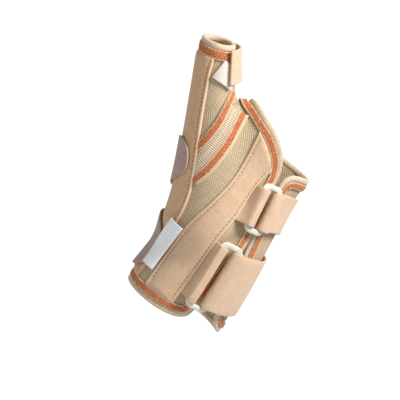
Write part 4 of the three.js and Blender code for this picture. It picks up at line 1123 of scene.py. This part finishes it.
# Straps and tabs, as rows across the cloth that run under a bar, round it and back over it
def surface_row(point, level, inwards, bars, half, columns):
    """A row of points on the surface, and the ways that the cloth's face looks there."""
    inner = settle(point, level)
    out = normal_at(inner)
    flat = unit(bars - out * (bars @ out))
    share = np.linspace(-1, 1, columns + 1)
    start, heading = (np.broadcast_to(v, (columns + 1, 3)) for v in (inner, flat))
    row = walk(start, heading, share * half, level)
    return row, normal_at(row) * (-1.0 if inwards else 1.0)


def straight_row(point, out, bars, half, columns):
    """A straight row of points along a ring's bars, and the one way that the cloth's face looks there."""
    share = np.linspace(-1, 1, columns + 1)[:, None]
    return point + bars * share * half, np.broadcast_to(out, (columns + 1, 3))


def fold_rows(place, side, half, columns):
    """Rows round one of a ring's bars, from below to above: side -1 is the left bar, 1 the right."""
    bar_edge = side * (RING_WIDTH / 2 - RING_SIDE_BAR + RING_THICKNESS / 2)
    rows = []
    for degrees in np.linspace(-90, 90, 9):
        out = place["out"] * math.sin(rad(degrees)) - place["across"] * side * math.cos(rad(degrees))
        inner = place["middle"] + place["across"] * bar_edge + out * FOLD_RADIUS
        rows.append(straight_row(inner, out, place["bars"], half, columns))
    return rows


STRAP_STEP = 1.3


def strap_mesh(name, rows, material, tip=None, tip_from=0.0):
    """A strap's cloth from its rows of inner points and ways out, resampled evenly along its length."""
    inner, out = (np.array(part) for part in zip(*rows))
    gone = lengths(inner[:, inner.shape[1] // 2])
    count = int(gone[-1] / STRAP_STEP)
    knots = np.interp(np.linspace(0, gone[-1], count + 1), gone, np.arange(len(rows))) / (len(rows) - 1)
    inner = curve(inner.reshape(len(rows), -1), knots).reshape(count + 1, -1, 3)
    out = unit(curve(out.reshape(len(rows), -1), knots).reshape(count + 1, -1, 3))
    columns = inner.shape[1] - 1
    bm, i, j = numbered_grid(count, columns)
    way = lengths(inner[:, columns // 2])
    wide = np.linalg.norm(inner[:, -1] - inner[:, 0], axis=-1)
    outwards = out[i, j]
    shape_grid(bm, inner[i, j] + outwards * STRAP_THICKNESS, way[i], j / columns * wide[i])
    bm.normal_update()
    facing = sum(f.normal.dot(Vector(outwards[f.verts[0].index])) for f in bm.faces)
    if facing < 0:
        bmesh.ops.reverse_faces(bm, faces=bm.faces)
    # Faces near the strap's end take the mauve tip material, painted shade
    if tip:
        for face in bm.faces:
            face.material_index = int(way[i[face.verts[0].index]] > way[-1] - tip_from)
    obj = finish_mesh(name, bm, material)
    if tip:
        obj.data.materials.append(tip)
    return thicken(obj, STRAP_THICKNESS, 0.3)


UNDER_TOP = UNDER_LEVEL + STRAP_THICKNESS
# A tab's way down from its ring to the hem: share of that way, way on past it, and level of its lower face
TAB_WAY_DOWN = [
    (-0.1, 0.0, RING_LEVEL + 0.6), (0.3, 0.0, UNDER_LEVEL + 0.8), (0.7, 0.0, WALL + 0.3),
    (1.0, 0.0, WALL - 0.6), (1.0, TUCK, WALL - 0.8),
]


def ring_tab(name, place, strap_width, hem_edge):
    """A velour tab: from under the wide sleeve's hem, over the ring's left bar, round it and back below."""
    half, columns = strap_width / 2, 10
    middle, across, out, bars = (place[key] for key in ("middle", "across", "out", "bars"))
    start = RING_WIDTH / 2 + 1.5 * GAP
    rows = [
        surface_row(middle - across * x, UNDER_TOP, True, bars, half, columns)
        for x in (start - 1.5, start - 3, RING_WIDTH / 2 - RING_SIDE_BAR + 2)
    ]
    rows += fold_rows(place, -1, half, columns)
    rows += [
        straight_row(middle + out * FOLD_RADIUS - across * x, out, bars, half, columns)
        for x in (RING_WIDTH / 2 - 2.5, RING_WIDTH / 2 - 0.5)
    ]
    end = surface_row(middle - across * start, TAPE_LEVEL, False, bars, half, columns)[0]
    apart = np.linalg.norm(end[:, None] - hem_edge[None], axis=-1).min(axis=1)
    for share, beyond, level in TAB_WAY_DOWN:
        inner = settle(end - across * (share * apart + beyond)[:, None], level)
        rows.append((inner, normal_at(inner)))
    return strap_mesh(name, rows, strap_velour)


# A strap's tip, painted mauve-grey as shade, and how narrow its round end gets, as a share of the strap
TIP_LENGTH = 30
TIP_END = 0.12


def strap(name, place, route, strap_width):
    """A strap: from the right flap under the ring's right bar, round it, and round the back to its tip."""
    half, columns = strap_width / 2, 14
    route = np.array(route, float)
    rows = []
    for turn, at, level in route[route[:, 0] <= UNDER_STRAP_END][::-1]:
        point = place_round(turn, at * SPLINT_HEIGHT, level)
        rows.append(surface_row(point, UNDER_TOP, True, place["bars"], half, columns))
    beside = place["middle"] + place["across"] * (RING_WIDTH / 2 - RING_SIDE_BAR + 2.5)
    rows.append(surface_row(beside, UNDER_TOP, True, place["bars"], half, columns))
    rows += fold_rows(place, 1, half, columns)
    flat = place["middle"] + place["out"] * FOLD_RADIUS
    rows += [
        straight_row(flat + place["across"] * x, place["out"], place["bars"], half, columns)
        for x in (RING_WIDTH / 2 - 1.5, RING_WIDTH / 2)
    ]
    count = 64
    knots = curve(route * [1, SPLINT_HEIGHT, 1], np.linspace(0, 1, count + 1))
    middle = place_round(knots[:, 0], knots[:, 1], knots[:, 2])
    gone = lengths(middle)
    share = np.minimum((gone[-1] - gone) / half, 1)
    narrow = half * np.maximum(np.sqrt(1 - (1 - share) ** 2), TIP_END)
    for i, point in enumerate(middle):
        ahead = middle[min(i + 1, count)] - middle[max(i - 1, 0)]
        bars = unit(np.cross(normal_at(point), ahead))
        rows.append(surface_row(point, knots[i, 2], False, bars, narrow[i], columns))
    return strap_mesh(name, rows, strap_velour, tip_shade_velour, TIP_LENGTH)


hem_edge = settle(forearm_top[:, -1], TAPE_LEVEL)
wrist_tab = put(
    ring_tab("wrist_ring_tab_velour", wrist_ring, WRIST_STRAP_WIDTH, hem_edge), "velour", "wrist_ring_tab",
)
palm_tab = put(
    ring_tab("palm_ring_tab_velour", palm_ring, PALM_STRAP_WIDTH, hem_edge), "velour", "palm_ring_tab",
)
wrist_strap = put(
    strap("wrist_strap_velour", wrist_ring, WRIST_STRAP, WRIST_STRAP_WIDTH), "strap_velour", "wrist_strap",
)
palm_strap = put(
    strap("palm_strap_velour", palm_ring, PALM_STRAP, PALM_STRAP_WIDTH), "strap_velour", "palm_strap",
)


# Hook tab, thumb strap and label
def plain_patch(name, grid, thickness, material, bevel):
    """A plain piece of cloth on a grid of points on its face."""
    bm, i, j = numbered_grid(grid.shape[0] - 1, grid.shape[1] - 1)
    along_mm, across_mm = lengths(grid[:, 0]), lengths(grid[0])
    shape_grid(bm, grid[i, j], along_mm[i], across_mm[j])
    face_outwards(bm)
    return thicken(finish_mesh(name, bm, material), thickness, bevel)


hook_edge = front_line(HOOK_TAB_EDGE, HOOK_LEVEL, 40)
hook_way = lengths(hook_edge)
hook_want = np.linspace(0, HOOK_TAB_HEIGHT, 13)
hook_edge = hook_edge[0] + (hook_edge[-1] - hook_edge[0]) * (hook_want / hook_way[-1])[:, None]
hook_grid = side_grid(hook_edge, 0.0, HOOK_TAB_WIDTH, HOOK_LEVEL, 14)
hook_grid = hook_grid + normal_at(hook_grid) * HOOK_TAB_THICKNESS
hook_tab = put(
    plain_patch("thumb_hook_patch", hook_grid, HOOK_TAB_THICKNESS + HOOK_LEVEL - WALL, hooks, 0.2),
    "hook_tape", "thumb_hook_tab",
)

STRAP_ROWS, STRAP_COLUMNS = 50, 15
strap_route = curve(np.array(THUMB_STRAP, float), np.linspace(0, 1, STRAP_ROWS))
strap_turn = np.radians(strap_route[:, 0])
strap_way = np.cos(strap_turn)[:, None] * THUMB_ACROSS + np.sin(strap_turn)[:, None] * THUMB_BACK
strap_at = THUMB_STRAP_START + np.linspace(0, THUMB_STRAP_WIDTH, STRAP_COLUMNS)
strap_start = THUMB_WEB + THUMB_AXIS * strap_at[:, None]
strap_grid = cross(
    np.broadcast_to(strap_start[None], (STRAP_ROWS, STRAP_COLUMNS, 3)),
    np.broadcast_to(strap_way[:, None], (STRAP_ROWS, STRAP_COLUMNS, 3)),
    strap_route[:, 1:2], True,
)
strap_grid = strap_grid + normal_at(strap_grid) * THUMB_STRAP_THICKNESS
thumb_strap = put(
    plain_patch("thumb_strap_velour", strap_grid, THUMB_STRAP_THICKNESS, strap_velour, 0.35),
    "strap_velour", "thumb_strap",
)

label_z = LABEL_TOP * SPLINT_HEIGHT - np.linspace(0, LABEL_LENGTH, 35)
label_start = place_front(LABEL_RIGHT * HALF, label_z, LABEL_LOW)
label_grid = np.stack([
    walk(label_start, np.array([-1.0, 0.0, 0.0]), np.full(len(label_z), share * LABEL_WIDTH),
         mix(LABEL_LOW, LABEL_HIGH, math.sqrt(share)))
    for share in np.linspace(0, 1, 13)
], axis=1)
label_grid = label_grid + normal_at(label_grid) * LABEL_THICKNESS
label = put(plain_patch("blank_label_satin", label_grid, LABEL_THICKNESS, satin, 0.1), "satin", "label")

# Studio: a pale floor well below the held splint that curves up behind it, and soft light
FLOOR_DROP = 0.35
COVE_START, COVE_RISE = 4.0, 3.0
FLOOR_GLOW = 0.75
ROOM_LIGHT = 0.38
floor_bm = bmesh.new()
bmesh.ops.create_grid(floor_bm, x_segments=60, y_segments=60, size=9.0)
for vert in floor_bm.verts:
    beyond = max(vert.co.y - COVE_START, 0.0) / COVE_RISE
    vert.co.z = -FLOOR_DROP + COVE_RISE * beyond ** 2 / 2
# Flat matt paint: no gloss, nearly white
floor_material, floor_tree, floor_shader = new_material("matt_white_floor", 0.95, 0.1)
floor_shader.inputs["Base Color"].default_value = hex_colour("F8F8F8")
floor_shader.inputs["Emission Color"].default_value = hex_colour("FFFFFF")
# Only the camera sees this glow, which keeps the backdrop white without lighting the splint from below
seen = add(floor_tree, "ShaderNodeLightPath").outputs["Is Camera Ray"]
glow = maths(floor_tree, "MULTIPLY", seen, FLOOR_GLOW)
floor_tree.links.new(glow, floor_shader.inputs["Emission Strength"])
floor = finish_mesh("floor", floor_bm, floor_material)

world = bpy.data.worlds.new("white_room")
bpy.context.scene.world = world
world.use_nodes = True
sky = world.node_tree.nodes["Background"]
sky.inputs["Color"].default_value = hex_colour("FFFFFF")
sky.inputs["Strength"].default_value = ROOM_LIGHT


# Camera: level aim lowered by ten degrees and rolled, as the photograph was taken
CAMERA_AIM = Vector((-26.5, 0.0, 66.4)) * MM
CAMERA_DISTANCE = 1000 * MM
CAMERA_DROP = rad(10)
VIEW_ACROSS = 252 * MM
SENSOR_WIDTH = 36
ROLL_COS, ROLL_SIN = 0.8, 0.6
view = Vector((0, math.cos(CAMERA_DROP), -math.sin(CAMERA_DROP)))
view_up = Vector((0, math.sin(CAMERA_DROP), math.cos(CAMERA_DROP)))
view_right = Vector((1, 0, 0))
camera_x = ROLL_COS * view_right + ROLL_SIN * view_up
camera_y = ROLL_COS * view_up - ROLL_SIN * view_right
camera_data = bpy.data.cameras.new("camera")
camera_data.sensor_width = SENSOR_WIDTH
camera_data.lens = SENSOR_WIDTH * CAMERA_DISTANCE / VIEW_ACROSS
camera_data.clip_start = 0.05
camera_data.clip_end = 100
camera = bpy.data.objects.new("camera", camera_data)
camera_turn = Matrix((camera_x, camera_y, -view)).transposed()
camera.matrix_world = Matrix.Translation(CAMERA_AIM - view * CAMERA_DISTANCE) @ camera_turn.to_4x4()
bpy.context.scene.collection.objects.link(camera)
bpy.context.scene.camera = camera

# One soft key light, right of the camera, above it and turned towards the splint
KEY_DISTANCE, KEY_SIZE, KEY_POWER = 0.9, 0.4, 10.0
key_side = (camera_x + 0.6 * camera_y - 0.7 * view).normalized()
key_data = bpy.data.lights.new("key", "AREA")
key_data.shape = "DISK"
key_data.size = KEY_SIZE
key_data.energy = KEY_POWER
key = bpy.data.objects.new("key", key_data)
key.location = CAMERA_AIM + key_side * KEY_DISTANCE
key.rotation_euler = (-key_side).to_track_quat("-Z", "Y").to_euler()
bpy.context.scene.collection.objects.link(key)
bpy.context.scene.view_settings.view_transform = "Standard"
